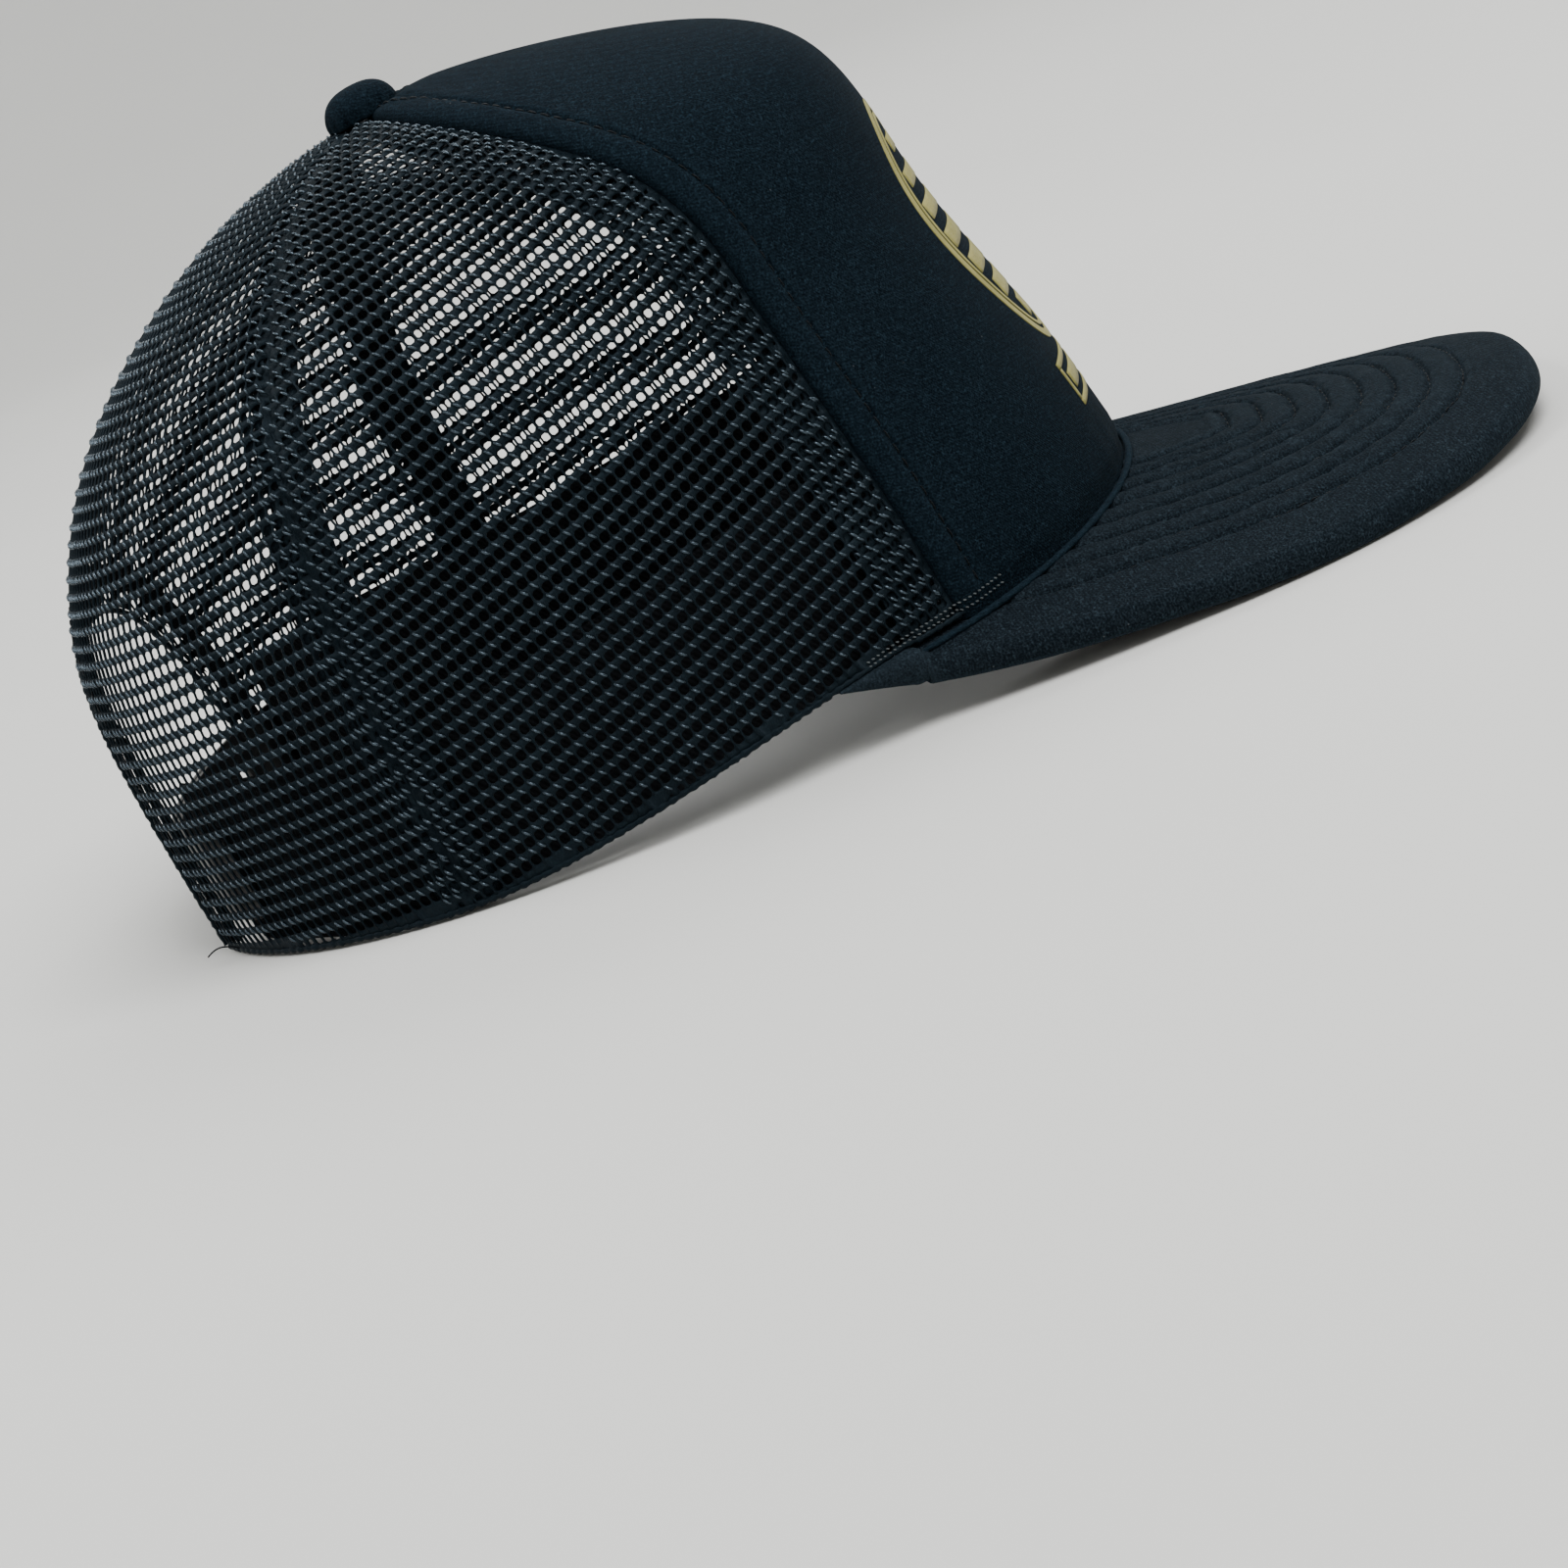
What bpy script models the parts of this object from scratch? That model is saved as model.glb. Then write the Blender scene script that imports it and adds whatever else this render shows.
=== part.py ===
"""Black trucker mesh cap, modelled as the separate pieces it is sewn from.

Frame: metres, +Z up, the visor towards -Y, the wearer's right towards -X. The cap stands
on its flat rear rim and on the lowest edge of the visor. The crown is drawn first in a frame
that sits level with the head opening, and stand() then tips it onto the table.

Every cloth layer is an offset of one crown surface, crown_point(turn, rise). turn runs round
the head opening from 0 at the forehead to 180 degrees at the back (positive on the wearer's
right), and rise runs from 0 at the rim to 1 at the button.
"""
import math

import bmesh
import bpy
import numpy as np
from mathutils import Vector

MM = 0.001
GAP = 0.3                      # clearance between pieces that lie against each other

# Head opening, seen from above (millimetres, degrees)
RIM_HALF_LENGTH = 101.0
RIM_HALF_WIDTH = 84.0
RIM_SQUARENESS = 2.25          # 2 is an ellipse, more is squarer
RIM_EGG = 0.07                 # share by which the back is wider than the front
CROWN_HEIGHT = 124.0
BUTTON_Y = -3.0                # place of the crown's top, front to back
REAR_RIM_RISE = 2.5            # the rim at the back, above the visor's corners
REST_TILT = math.radians(6.1)  # tip that brings the visor and the rear rim onto one plane
CENTRE_SHIFT = 39.103          # puts the origin under the middle of the cap
LEVEL_RIM_FROM_Y = 45.0        # behind this line the rim lies flat on the table
LEVEL_WALL_RISE = 0.05         # below this rise the layers' thickness turns level

# Crown profiles from rim to button: (share of the rim's radius, share of the crown's height)
FRONT_PROFILE = [(1.0, 0.0), (0.97, 0.17), (0.921, 0.34), (0.87, 0.52), (0.845, 0.68),
                 (0.78, 0.80), (0.61, 0.885), (0.36, 0.955), (0.13, 0.993), (0.0, 1.0)]
SIDE_PROFILE = [(1.0, 0.0), (1.01, 0.14), (1.005, 0.28), (0.97, 0.43), (0.90, 0.58),
                (0.77, 0.73), (0.58, 0.86), (0.34, 0.95), (0.13, 0.99), (0.0, 1.0)]
REAR_PROFILE = [(1.0, 0.0), (1.0, 0.15), (0.99, 0.31), (0.96, 0.46), (0.89, 0.60),
                (0.76, 0.74), (0.57, 0.86), (0.34, 0.95), (0.13, 0.99), (0.0, 1.0)]
PROFILE_FOCUS = 1.6            # how closely the front and rear profiles keep to the middle

# Panels
PANEL_TOP = 0.96               # rise at which the panels end, round the button's rivet
RISE_STEPS = 16
FRONT_COLUMNS = 20
SIDE_COLUMNS = 10
FRONT_SEAM_TURN = 53.5
FRONT_SEAM_SWEEP = 22.0        # degrees the seam swings back on its way to the button
FRONT_SEAM_SWEEP_FROM = 0.4
FRONT_SEAM_POWER = 1.8
SIDE_SEAM_TURN = 108.5
COVER_PROUD = 1.5              # how far the padded front stands out of the net's surface
COVER_EDGE_SHARE = 0.35        # share of that height left at the front seam
COVER_EDGE_EASE = 6.0          # width over which the pad swells from its seam
COVER_TOP_SHARE = 0.15         # the same at the button
COVER_TOP_EASE = 14.0
COVER_THICKNESS = 0.6
FOAM_THICKNESS = 3.0
LINING_THICKNESS = 0.4
NET_THICKNESS = 1.0

# Rear opening
ARCH_HALF_TURN = 26.9          # degrees from the centre back to the opening's corner
ARCH_HALF_WIDTH = 44.0         # the same in millimetres
ARCH_TOP_RISE = 0.365
ARCH_HEIGHT = 60.0             # the same in millimetres
ARCH_SQUARENESS = 2.5
REAR_PLAIN_COLUMNS = 5         # of a rear panel, beside its opening
REAR_ARCH_COLUMNS = 7          # and over it

# Tapes and sweatband
TAPE_DEPTH = 1.5
TAPE_THICKNESS = 0.6
TAPE_WIDTH = 8.0
TAPE_STEPS = 14
BACK_TAPE_FIRST_STEP = 8       # of the crown's rise steps: just over the rear opening
ARCH_TAPE_INSET = 2.0
ARCH_TAPE_WIDTH = 6.0
ARCH_TAPE_FOOT = 0.012         # rise of its two ends
ARCH_TAPE_STEPS = 20
SWEATBAND_DEPTH = 3.7
SWEATBAND_REAR_DEPTH = 5.9     # behind the strap tabs
SWEATBAND_REAR_FROM = 122.0    # degrees at which it starts to step in
SWEATBAND_REAR_EASE = 14.0
SWEATBAND_THICKNESS = 1.5
SWEATBAND_RISE = 0.2
SWEATBAND_END_TURN = 149.0
SWEATBAND_COLUMNS = 56
SWEATBAND_ROWS = 3

# Visor
VISOR_DROOP = math.radians(12.5)
VISOR_LENGTH = 77.5
VISOR_HALF_WIDTH = 77.0
VISOR_CORNER_TURN = 61.0
VISOR_ROUNDNESS = 2.6
VISOR_CROSS_CURVE = 0.0022     # fall to each side, per square millimetre
VISOR_CORNER_WIDTH = 6.0
VISOR_CORNER_FROM = 0.8        # share of the outline past which the corners flare
VISOR_SEAT = 1.4               # how far the visor's top lies under the crown's edge
VISOR_THICKNESS = 5.5
VISOR_CLOTH = 0.6
VISOR_EDGE_ROUND = 2.6
VISOR_CORE_INSET = 2.2
VISOR_FOAM_THICKNESS = 1.7
VISOR_BOARD_THICKNESS = 1.6
VISOR_TUCK = 2.9               # how far the visor runs in under the front panel
VISOR_STEPS = 32
VISOR_INWARD_STEPS = 5
WELT_RADIUS = 1.0
WELT_SHORT = 4.0               # degrees by which the welt stops before the visor's corner

# Button
BUTTON_RADIUS = 7.4
BUTTON_HEIGHT = 5.4
BUTTON_CLOTH = 0.7
BUTTON_SHELL = 0.8
BUTTON_LIFT = 0.5
DOME_POWER = 0.75              # below 1 the dome has fuller shoulders
RIVET_RADIUS = 1.5
RIVET_REACH = 2.6              # into the button
RIVET_FOOT = -5.4              # under the crown's top
RIVET_HEAD_RADIUS = 6.0
RIVET_HEAD_THICKNESS = 0.8

# Snap closure
STRAP_HINGE_X = 39.0
STRAP_HINGE_Y = 88.4           # centre line of the peg strap at its hinge
STRAP_BOW = 6.0                # how far the strap's middle stands behind its hinges
STRAP_THICKNESS = 1.2
STRAP_LOW = 6.0                # over the level frame's zero
STRAP_HIGH = 24.0
STRAP_TIP_X = 27.0
STRAP_TIP_LENGTH = 0.7         # of the rounded tip, as a share of half the strap's height
STRAP_TIP_HEIGHT = 0.45        # share of the strap's height left at its very end
STRAP_HINGE_GAP = 0.65
SNAP_COUNT = 7
SNAP_PITCH = 9.0
FIRST_HOLE_X = -22.5
FIRST_PEG_X = -31.5
HOLE_RADIUS = 2.5
PEG_RADIUS = 1.75
PEG_LENGTH = 2.1
PEG_TIP_RADIUS = 1.35
PEG_TIP_LENGTH = 0.5
TAB_START_TURN = 141.0
TAB_END_TURN = 151.5
TAB_RISE = 0.08                # where the tabs follow the crown's wall
HOLE_TAB_DEPTH = 3.2
PEG_TAB_DEPTH = 4.8

BLACK_KNIT = ((0.022, 0.024, 0.028), 0.85, 0.0)
BLACK_NET = ((0.018, 0.019, 0.022), 0.5, 0.0)
BLACK_TAPE = ((0.015, 0.015, 0.017), 0.8, 0.0)
DARK_FOAM = ((0.05, 0.05, 0.055), 0.95, 0.0)
BLACK_PLASTIC = ((0.02, 0.02, 0.022), 0.4, 0.0)
GREY_METAL = ((0.55, 0.55, 0.56), 0.35, 1.0)
WHITE_BOARD = ((0.7, 0.7, 0.68), 0.6, 0.0)


def clear_scene():
    for item in list(bpy.data.objects):
        bpy.data.objects.remove(item, do_unlink=True)


def smoothstep(value):
    value = min(max(value, 0.0), 1.0)
    return value * value * (3.0 - 2.0 * value)


def signed_power(value, power):
    return math.copysign(abs(value) ** power, value)


def spline(points):
    """A natural cubic through evenly spaced points, as a function of 0 to 1."""
    values = np.array(points, float)
    last = len(values) - 1
    system = np.eye(last + 1)
    right = np.zeros_like(values)
    for row in range(1, last):
        system[row, row - 1:row + 2] = (1.0, 4.0, 1.0)
        right[row] = 6.0 * (values[row - 1] - 2.0 * values[row] + values[row + 1])
    bends = np.linalg.solve(system, right)

    def at(share):
        place = min(max(share, 0.0), 1.0) * last
        cell = min(int(place), last - 1)
        after = place - cell
        before = 1.0 - after
        line = before * values[cell] + after * values[cell + 1]
        bow = (before ** 3 - before) * bends[cell] + (after ** 3 - after) * bends[cell + 1]
        return line + bow / 6.0
    return at


front_profile = spline(FRONT_PROFILE)
side_profile = spline(SIDE_PROFILE)
rear_profile = spline(REAR_PROFILE)


def stand(point):
    """Tip a point of the level cap so that the cap stands on the table."""
    x, y, z = point
    y_turned = y * math.cos(REST_TILT) + z * math.sin(REST_TILT)
    z_turned = -y * math.sin(REST_TILT) + z * math.cos(REST_TILT)
    lift = RIM_HALF_LENGTH * math.sin(REST_TILT) - REAR_RIM_RISE * math.cos(REST_TILT)
    return Vector((x, y_turned + CENTRE_SHIFT, z_turned + lift))


def rim_plan(turn):
    c, s = math.cos(turn), math.sin(turn)
    power = 2.0 / RIM_SQUARENESS
    x = -RIM_HALF_WIDTH * signed_power(s, power) * (1.0 - RIM_EGG * c)
    return x, -RIM_HALF_LENGTH * signed_power(c, power)


def visor_height(x, y):
    """Height of the arched visor surface over the level rim."""
    corner_x, corner_y = rim_plan(math.radians(VISOR_CORNER_TURN))
    return VISOR_CROSS_CURVE * (corner_x ** 2 - x ** 2) + math.tan(VISOR_DROOP) * (y - corner_y)


def rim_height(turn):
    x, y = rim_plan(turn)
    corner_y = rim_plan(math.radians(VISOR_CORNER_TURN))[1]
    if y < corner_y:
        return visor_height(x, y)
    slope = math.tan(REST_TILT)
    if y > LEVEL_RIM_FROM_Y:
        return REAR_RIM_RISE + slope * (y - RIM_HALF_LENGTH)
    run = LEVEL_RIM_FROM_Y - corner_y
    share = (y - corner_y) / run
    end = REAR_RIM_RISE + slope * (LEVEL_RIM_FROM_Y - RIM_HALF_LENGTH)
    return end * smoothstep(share) + slope * run * (share ** 3 - share ** 2)


def level_crown_point(turn, rise):
    x, y = rim_plan(turn)
    z = rim_height(turn)
    front = ((1.0 + math.cos(turn)) / 2.0) ** PROFILE_FOCUS
    rear = ((1.0 - math.cos(turn)) / 2.0) ** PROFILE_FOCUS
    radius, height = (front * front_profile(rise) + rear * rear_profile(rise)
                      + (1.0 - front - rear) * side_profile(rise))
    return Vector((x * radius, BUTTON_Y + (y - BUTTON_Y) * radius,
                   z + (CROWN_HEIGHT - z) * height))


def crown_point(turn, rise):
    return stand(level_crown_point(turn, rise))


def crown_normal(turn, rise):
    """Outward normal, level at the rim so that every layer ends on the same plane."""
    step = 0.004
    round_it = crown_point(turn + step, rise) - crown_point(turn - step, rise)
    low, high = max(rise - step, 0.0), min(rise + step, 0.999)
    up_it = crown_point(turn, high) - crown_point(turn, low)
    normal = up_it.cross(round_it)
    normal.normalize()
    normal.z *= smoothstep(rise / LEVEL_WALL_RISE)
    return normal.normalized()


def layer_point(turn, rise, offset):
    return crown_point(turn, rise) + crown_normal(turn, rise) * offset


def turn_for(turn, rise, distance):
    """The turn that lies a distance along the crown from another turn, at one rise."""
    step = 0.01
    speed = (crown_point(turn + step, rise) - crown_point(turn - step, rise)).length / (2 * step)
    return turn + distance / speed


def front_seam(rise):
    past = max(rise - FRONT_SEAM_SWEEP_FROM, 0.0) / 0.5
    return math.radians(FRONT_SEAM_TURN + FRONT_SEAM_SWEEP * past ** FRONT_SEAM_POWER)


def arch_rise(turn):
    """Lowest rise of the rear panels: the edge of the arched rear opening."""
    across = (math.pi - abs(turn)) / math.radians(ARCH_HALF_TURN)
    if across >= 1.0:
        return 0.0
    return ARCH_TOP_RISE * (1.0 - across ** ARCH_SQUARENESS) ** (1.0 / ARCH_SQUARENESS)


def make_material(name, finish):
    colour, roughness, metallic = finish
    material = bpy.data.materials.new(name)
    material.use_nodes = True
    shader = material.node_tree.nodes["Principled BSDF"]
    shader.inputs["Base Color"].default_value = (*colour, 1.0)
    shader.inputs["Roughness"].default_value = roughness
    shader.inputs["Metallic"].default_value = metallic
    material.diffuse_color = (*colour, 1.0)
    return material


def add_object(name, bm, finish, origin=(0.0, 0.0, 0.0), sharp=35.0):
    """Turn a bmesh in millimetres into an object in metres about the given origin."""
    bmesh.ops.recalc_face_normals(bm, faces=bm.faces)
    start = Vector(origin)
    for vertex in bm.verts:
        vertex.co = (vertex.co - start) * MM
    mesh = bpy.data.meshes.new(name)
    bm.to_mesh(mesh)
    bm.free()
    mesh.shade_smooth()
    mesh.set_sharp_from_angle(angle=math.radians(sharp))
    item = bpy.data.objects.new(name, mesh)
    item.location = start * MM
    bpy.context.collection.objects.link(item)
    mesh.materials.append(make_material(name + "_finish", finish))
    return item


def slab(name, outer, inner, finish, origin=(0.0, 0.0, 0.0)):
    """A closed sheet between two grids of points of the same size."""
    bm = bmesh.new()
    rows, columns = len(outer), len(outer[0])
    top = [[bm.verts.new(point) for point in row] for row in outer]
    bottom = [[bm.verts.new(point) for point in row] for row in inner]
    for i in range(rows - 1):
        for j in range(columns - 1):
            bm.faces.new((top[i][j], top[i + 1][j], top[i + 1][j + 1], top[i][j + 1]))
            bm.faces.new((bottom[i][j], bottom[i][j + 1], bottom[i + 1][j + 1],
                          bottom[i + 1][j]))
    for i in range(rows - 1):
        for j in (0, columns - 1):
            bm.faces.new((top[i][j], top[i + 1][j], bottom[i + 1][j], bottom[i][j]))
    for j in range(columns - 1):
        for i in (0, rows - 1):
            bm.faces.new((top[i][j], top[i][j + 1], bottom[i][j + 1], bottom[i][j]))
    return add_object(name, bm, finish, origin)


def crown_patch(name, lines, outer_offset, inner_offset, finish):
    """A sheet on the crown. lines holds rows of (turn, rise); offsets are functions."""
    outer = [[layer_point(t, r, outer_offset(t, r)) for t, r in row] for row in lines]
    inner = [[layer_point(t, r, inner_offset(t, r)) for t, r in row] for row in lines]
    return slab(name, outer, inner, finish)


def flat_offset(value):
    return lambda turn, rise: value


def rises(top=PANEL_TOP, steps=RISE_STEPS):
    return [top * i / steps for i in range(steps + 1)]


# ---------------------------------------------------------------- front panel

def front_proud(turn, rise):
    """How far the padded front stands out: it thins towards its seams and the button."""
    seam = front_seam(rise)
    edge = (crown_point(seam, rise) - crown_point(abs(turn), rise)).length
    top = (crown_point(0.0, PANEL_TOP) - crown_point(0.0, rise)).length
    swell = smoothstep(COVER_EDGE_SHARE + edge / COVER_EDGE_EASE)
    return COVER_PROUD * swell * smoothstep(COVER_TOP_SHARE + top / COVER_TOP_EASE)


def front_lines():
    lines = []
    for rise in rises():
        edge = turn_for(front_seam(rise), rise, -GAP / 2)
        lines.append([(edge * (2.0 * j / FRONT_COLUMNS - 1.0), rise)
                      for j in range(FRONT_COLUMNS + 1)])
    return lines


def build_front():
    """Cloth, foam and lining. The foam thins at its edges and the lining stays level."""
    lines = front_lines()
    foam_bottom = COVER_PROUD - COVER_THICKNESS - GAP - FOAM_THICKNESS
    lining_top = foam_bottom - GAP

    def below(depth):
        return lambda turn, rise: front_proud(turn, rise) - depth
    crown_patch("front_panel_cover", lines, below(0.0), below(COVER_THICKNESS), BLACK_KNIT)
    crown_patch("front_panel_foam", lines, below(COVER_THICKNESS + GAP),
                flat_offset(foam_bottom), DARK_FOAM)
    crown_patch("front_panel_lining", lines, flat_offset(lining_top),
                flat_offset(lining_top - LINING_THICKNESS), BLACK_TAPE)


# ---------------------------------------------------------------- net panels

def mirrored(lines):
    return [[(-turn, rise) for turn, rise in row] for row in lines]


def side_net_lines():
    rear = math.radians(SIDE_SEAM_TURN)
    lines = []
    for rise in rises():
        start = turn_for(front_seam(rise), rise, GAP / 2)
        end = turn_for(rear, rise, -GAP / 2)
        lines.append([(start + (end - start) * j / SIDE_COLUMNS, rise)
                      for j in range(SIDE_COLUMNS + 1)])
    return lines


def rear_net_lines():
    """Columns crowd at the opening's corner, where its edge is steep."""
    plain, arched = REAR_PLAIN_COLUMNS, REAR_ARCH_COLUMNS
    corner = math.pi - math.radians(ARCH_HALF_TURN)
    lines = []
    for share in [i / RISE_STEPS for i in range(RISE_STEPS + 1)]:
        row = []
        for j in range(plain + arched + 1):
            if j <= plain:
                base = math.radians(SIDE_SEAM_TURN)
                base += (corner - base) * j / plain
            else:
                angle = math.pi / 2 * (j - plain) / arched
                base = math.pi - (math.pi - corner) * math.cos(angle)
            low = arch_rise(base)
            rise = low + (PANEL_TOP - low) * share
            turn = base
            if j == 0:
                turn = turn_for(base, rise, GAP / 2)
            if j == plain + arched:
                turn = turn_for(base, rise, -GAP / 2)
            row.append((turn, rise))
        lines.append(row)
    return lines


def build_net():
    outer, inner = flat_offset(0.0), flat_offset(-NET_THICKNESS)
    for panel, lines in (("side_mesh", side_net_lines()), ("rear_mesh", rear_net_lines())):
        crown_patch(panel + "_right", lines, outer, inner, BLACK_NET)
        crown_patch(panel + "_left", mirrored(lines), outer, inner, BLACK_NET)


# ---------------------------------------------------------------- tapes and sweatband

def tape_lines(start_turn, start_mm, end_mm, first_step, last_step):
    """A band along a seam, between two distances from it measured round the crown."""
    lines = []
    for rise in rises()[first_step:last_step + 1]:
        seam = start_turn(rise)
        a = turn_for(seam, rise, start_mm)
        b = turn_for(seam, rise, end_mm)
        lines.append([(a + (b - a) * j / 2, rise) for j in range(3)])
    return lines


def arch_tape_lines(inset, width):
    """Rows of three points round the rear opening, across a band inset from its edge."""
    lines = []
    for i in range(ARCH_TAPE_STEPS + 1):
        angle = math.pi * i / ARCH_TAPE_STEPS
        power = 2.0 / ARCH_SQUARENESS
        across = signed_power(math.cos(angle), power)
        up = math.sin(angle) ** power
        row = []
        for distance in (inset, inset + width / 2, inset + width):
            grow_turn = 1.0 + distance / ARCH_HALF_WIDTH
            grow_rise = 1.0 + distance / ARCH_HEIGHT
            turn = math.pi - math.radians(ARCH_HALF_TURN) * across * grow_turn
            row.append((turn, ARCH_TAPE_FOOT + ARCH_TOP_RISE * up * grow_rise))
        lines.append(row)
    return lines


def build_tapes():
    outer = flat_offset(-TAPE_DEPTH)
    inner = flat_offset(-TAPE_DEPTH - TAPE_THICKNESS)
    half = TAPE_WIDTH / 2
    front = tape_lines(front_seam, GAP, TAPE_WIDTH, 0, TAPE_STEPS - 1)
    side = tape_lines(lambda rise: math.radians(SIDE_SEAM_TURN), -half, half, 0, TAPE_STEPS - 1)
    for name, lines in (("front_seam_tape", front), ("side_seam_tape", side)):
        crown_patch(name + "_right", lines, outer, inner, BLACK_TAPE)
        crown_patch(name + "_left", mirrored(lines), outer, inner, BLACK_TAPE)
    centre = tape_lines(lambda rise: math.pi, -half, half, BACK_TAPE_FIRST_STEP,
                        TAPE_STEPS - 1)
    crown_patch("center_back_seam_tape", centre, outer, inner, BLACK_TAPE)
    crown_patch("arch_tape", arch_tape_lines(ARCH_TAPE_INSET, ARCH_TAPE_WIDTH), outer, inner,
                BLACK_TAPE)


def sweatband_depth(turn):
    past = (math.degrees(abs(turn)) - SWEATBAND_REAR_FROM) / SWEATBAND_REAR_EASE
    return SWEATBAND_DEPTH + (SWEATBAND_REAR_DEPTH - SWEATBAND_DEPTH) * smoothstep(past)


def build_sweatband():
    columns, rows = SWEATBAND_COLUMNS, SWEATBAND_ROWS
    end = math.radians(SWEATBAND_END_TURN)
    lines = [[(end * (2.0 * j / columns - 1.0), SWEATBAND_RISE * i / rows)
              for j in range(columns + 1)] for i in range(rows + 1)]
    crown_patch("sweatband", lines,
                lambda turn, rise: -sweatband_depth(turn),
                lambda turn, rise: -sweatband_depth(turn) - SWEATBAND_THICKNESS,
                BLACK_TAPE)


# ---------------------------------------------------------------- visor

def rim_normal(turn):
    """Outward direction in plan at the level rim."""
    step = 0.004
    ax, ay = rim_plan(turn - step)
    bx, by = rim_plan(turn + step)
    direction = Vector((ay - by, bx - ax, 0.0)).normalized()
    x, y = rim_plan(turn)
    return direction if direction.dot(Vector((x, y, 0.0))) > 0 else -direction


def visor_inner(share):
    turn = math.radians(VISOR_CORNER_TURN) * share
    x, y = rim_plan(turn)
    return Vector((x, y, 0.0)) - rim_normal(turn) * VISOR_TUCK


def visor_outline(share):
    """Outer edge of the visor in plan, from its left corner to its right one."""
    corner_x, corner_y = rim_plan(math.radians(VISOR_CORNER_TURN))
    angle = share * math.pi / 2
    c, s = math.cos(angle), math.sin(angle)
    power = 2.0 / VISOR_ROUNDNESS
    front_y = -RIM_HALF_LENGTH - VISOR_LENGTH
    x = signed_power(s, power) * corner_x
    y = corner_y + (front_y - corner_y) * abs(c) ** power
    bulge = VISOR_HALF_WIDTH / abs(corner_x) - 1.0
    x *= 1.0 + bulge * 4.0 * abs(c) * (1.0 - abs(c))    # fullest half way along each side
    corner = smoothstep((abs(share) - VISOR_CORNER_FROM) / (1.0 - VISOR_CORNER_FROM))
    outward = rim_normal(math.radians(VISOR_CORNER_TURN) * share)
    return Vector((x, y, 0.0)) + outward * (VISOR_CORNER_WIDTH - VISOR_TUCK) * corner


def visor_shares():
    """Stations along the outline, from -1 at its left corner to 1 at its right one."""
    return [2.0 * i / VISOR_STEPS - 1.0 for i in range(VISOR_STEPS + 1)]


def visor_row(share, rings):
    """Points across the visor at one station. rings holds (inset, share inward, height)."""
    edge, inner = visor_outline(share), visor_inner(share)
    run = (inner - edge).length
    row = []
    for inset, inward, height in rings:
        distance = inset + (run - inset) * inward
        place = edge + (inner - edge) * (distance / run)
        z = visor_height(place.x, place.y) - VISOR_SEAT + height
        row.append(stand((place.x, place.y, z)))
    return row


def rounded_rings(inset, rounding, middle, reach, side):
    """Cross-section of a cover: a quarter round at the edge and a flat run to the crown."""
    rings = []
    corner_steps = 4
    for i in range(corner_steps + 1):
        angle = math.pi / 2 * i / corner_steps
        depth = inset + rounding * (1.0 - math.cos(angle))
        rings.append((depth, 0.0, middle + side * reach * math.sin(angle)))
    last_inset = rings[-1][0]
    for i in range(1, VISOR_INWARD_STEPS + 1):
        rings.append((last_inset, i / VISOR_INWARD_STEPS, middle + side * reach))
    return rings


def visor_cover(name, side):
    """The cloth over one side of the visor, wrapped to the middle of its edge."""
    middle = -VISOR_THICKNESS / 2
    lip = side * GAP / 2
    reach = VISOR_THICKNESS / 2 - GAP / 2
    outer_rings = rounded_rings(0.0, VISOR_EDGE_ROUND, middle + lip, reach, side)
    inner_rings = rounded_rings(VISOR_CLOTH, VISOR_EDGE_ROUND - VISOR_CLOTH, middle + lip,
                                reach - VISOR_CLOTH, side)
    outer = [visor_row(share, outer_rings) for share in visor_shares()]
    inner = [visor_row(share, inner_rings) for share in visor_shares()]
    slab(name, outer, inner, BLACK_KNIT)


def visor_plate(name, top, thickness, finish):
    steps = 4
    upper = [(VISOR_CORE_INSET, i / steps, top) for i in range(steps + 1)]
    lower = [(VISOR_CORE_INSET, i / steps, top - thickness) for i in range(steps + 1)]
    outer = [visor_row(share, upper) for share in visor_shares()]
    inner = [visor_row(share, lower) for share in visor_shares()]
    slab(name, outer, inner, finish)


def build_visor():
    visor_cover("visor_top_cover", 1.0)
    visor_cover("visor_under_cover", -1.0)
    foam_top = -VISOR_CLOTH - GAP
    board_top = foam_top - VISOR_FOAM_THICKNESS - GAP
    visor_plate("visor_foam", foam_top, VISOR_FOAM_THICKNESS, DARK_FOAM)
    visor_plate("visor_board", board_top, VISOR_BOARD_THICKNESS, WHITE_BOARD)


def build_welt():
    """The round cord sewn into the seam between the front panel and the visor."""
    steps, sides = 36, 8
    reach = math.radians(VISOR_CORNER_TURN - WELT_SHORT)
    centres = []
    for i in range(steps + 1):
        turn = reach * (2.0 * i / steps - 1.0)
        x, y = rim_plan(turn)
        place = Vector((x, y, 0.0)) + rim_normal(turn) * (COVER_PROUD + GAP + WELT_RADIUS)
        place.z = visor_height(place.x, place.y) - VISOR_SEAT + GAP + WELT_RADIUS
        centres.append(stand(place))
    add_object("visor_seam_welt", tube(centres, WELT_RADIUS, sides), BLACK_KNIT)


def tube(centres, radius, sides):
    bm = bmesh.new()
    rings = []
    last = len(centres) - 1
    for i, centre in enumerate(centres):
        along = (centres[min(i + 1, last)] - centres[max(i - 1, 0)]).normalized()
        across = along.cross(Vector((0.0, 0.0, 1.0))).normalized()
        up = across.cross(along)
        angles = [2.0 * math.pi * k / sides for k in range(sides)]
        rings.append([bm.verts.new(centre + (across * math.cos(a) + up * math.sin(a)) * radius)
                      for a in angles])
    for first, second in zip(rings, rings[1:]):
        for k in range(sides):
            following = (k + 1) % sides
            bm.faces.new((first[k], first[following], second[following], second[k]))
    bm.faces.new(rings[0])
    bm.faces.new(rings[-1])
    return bm


# ---------------------------------------------------------------- button

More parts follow.
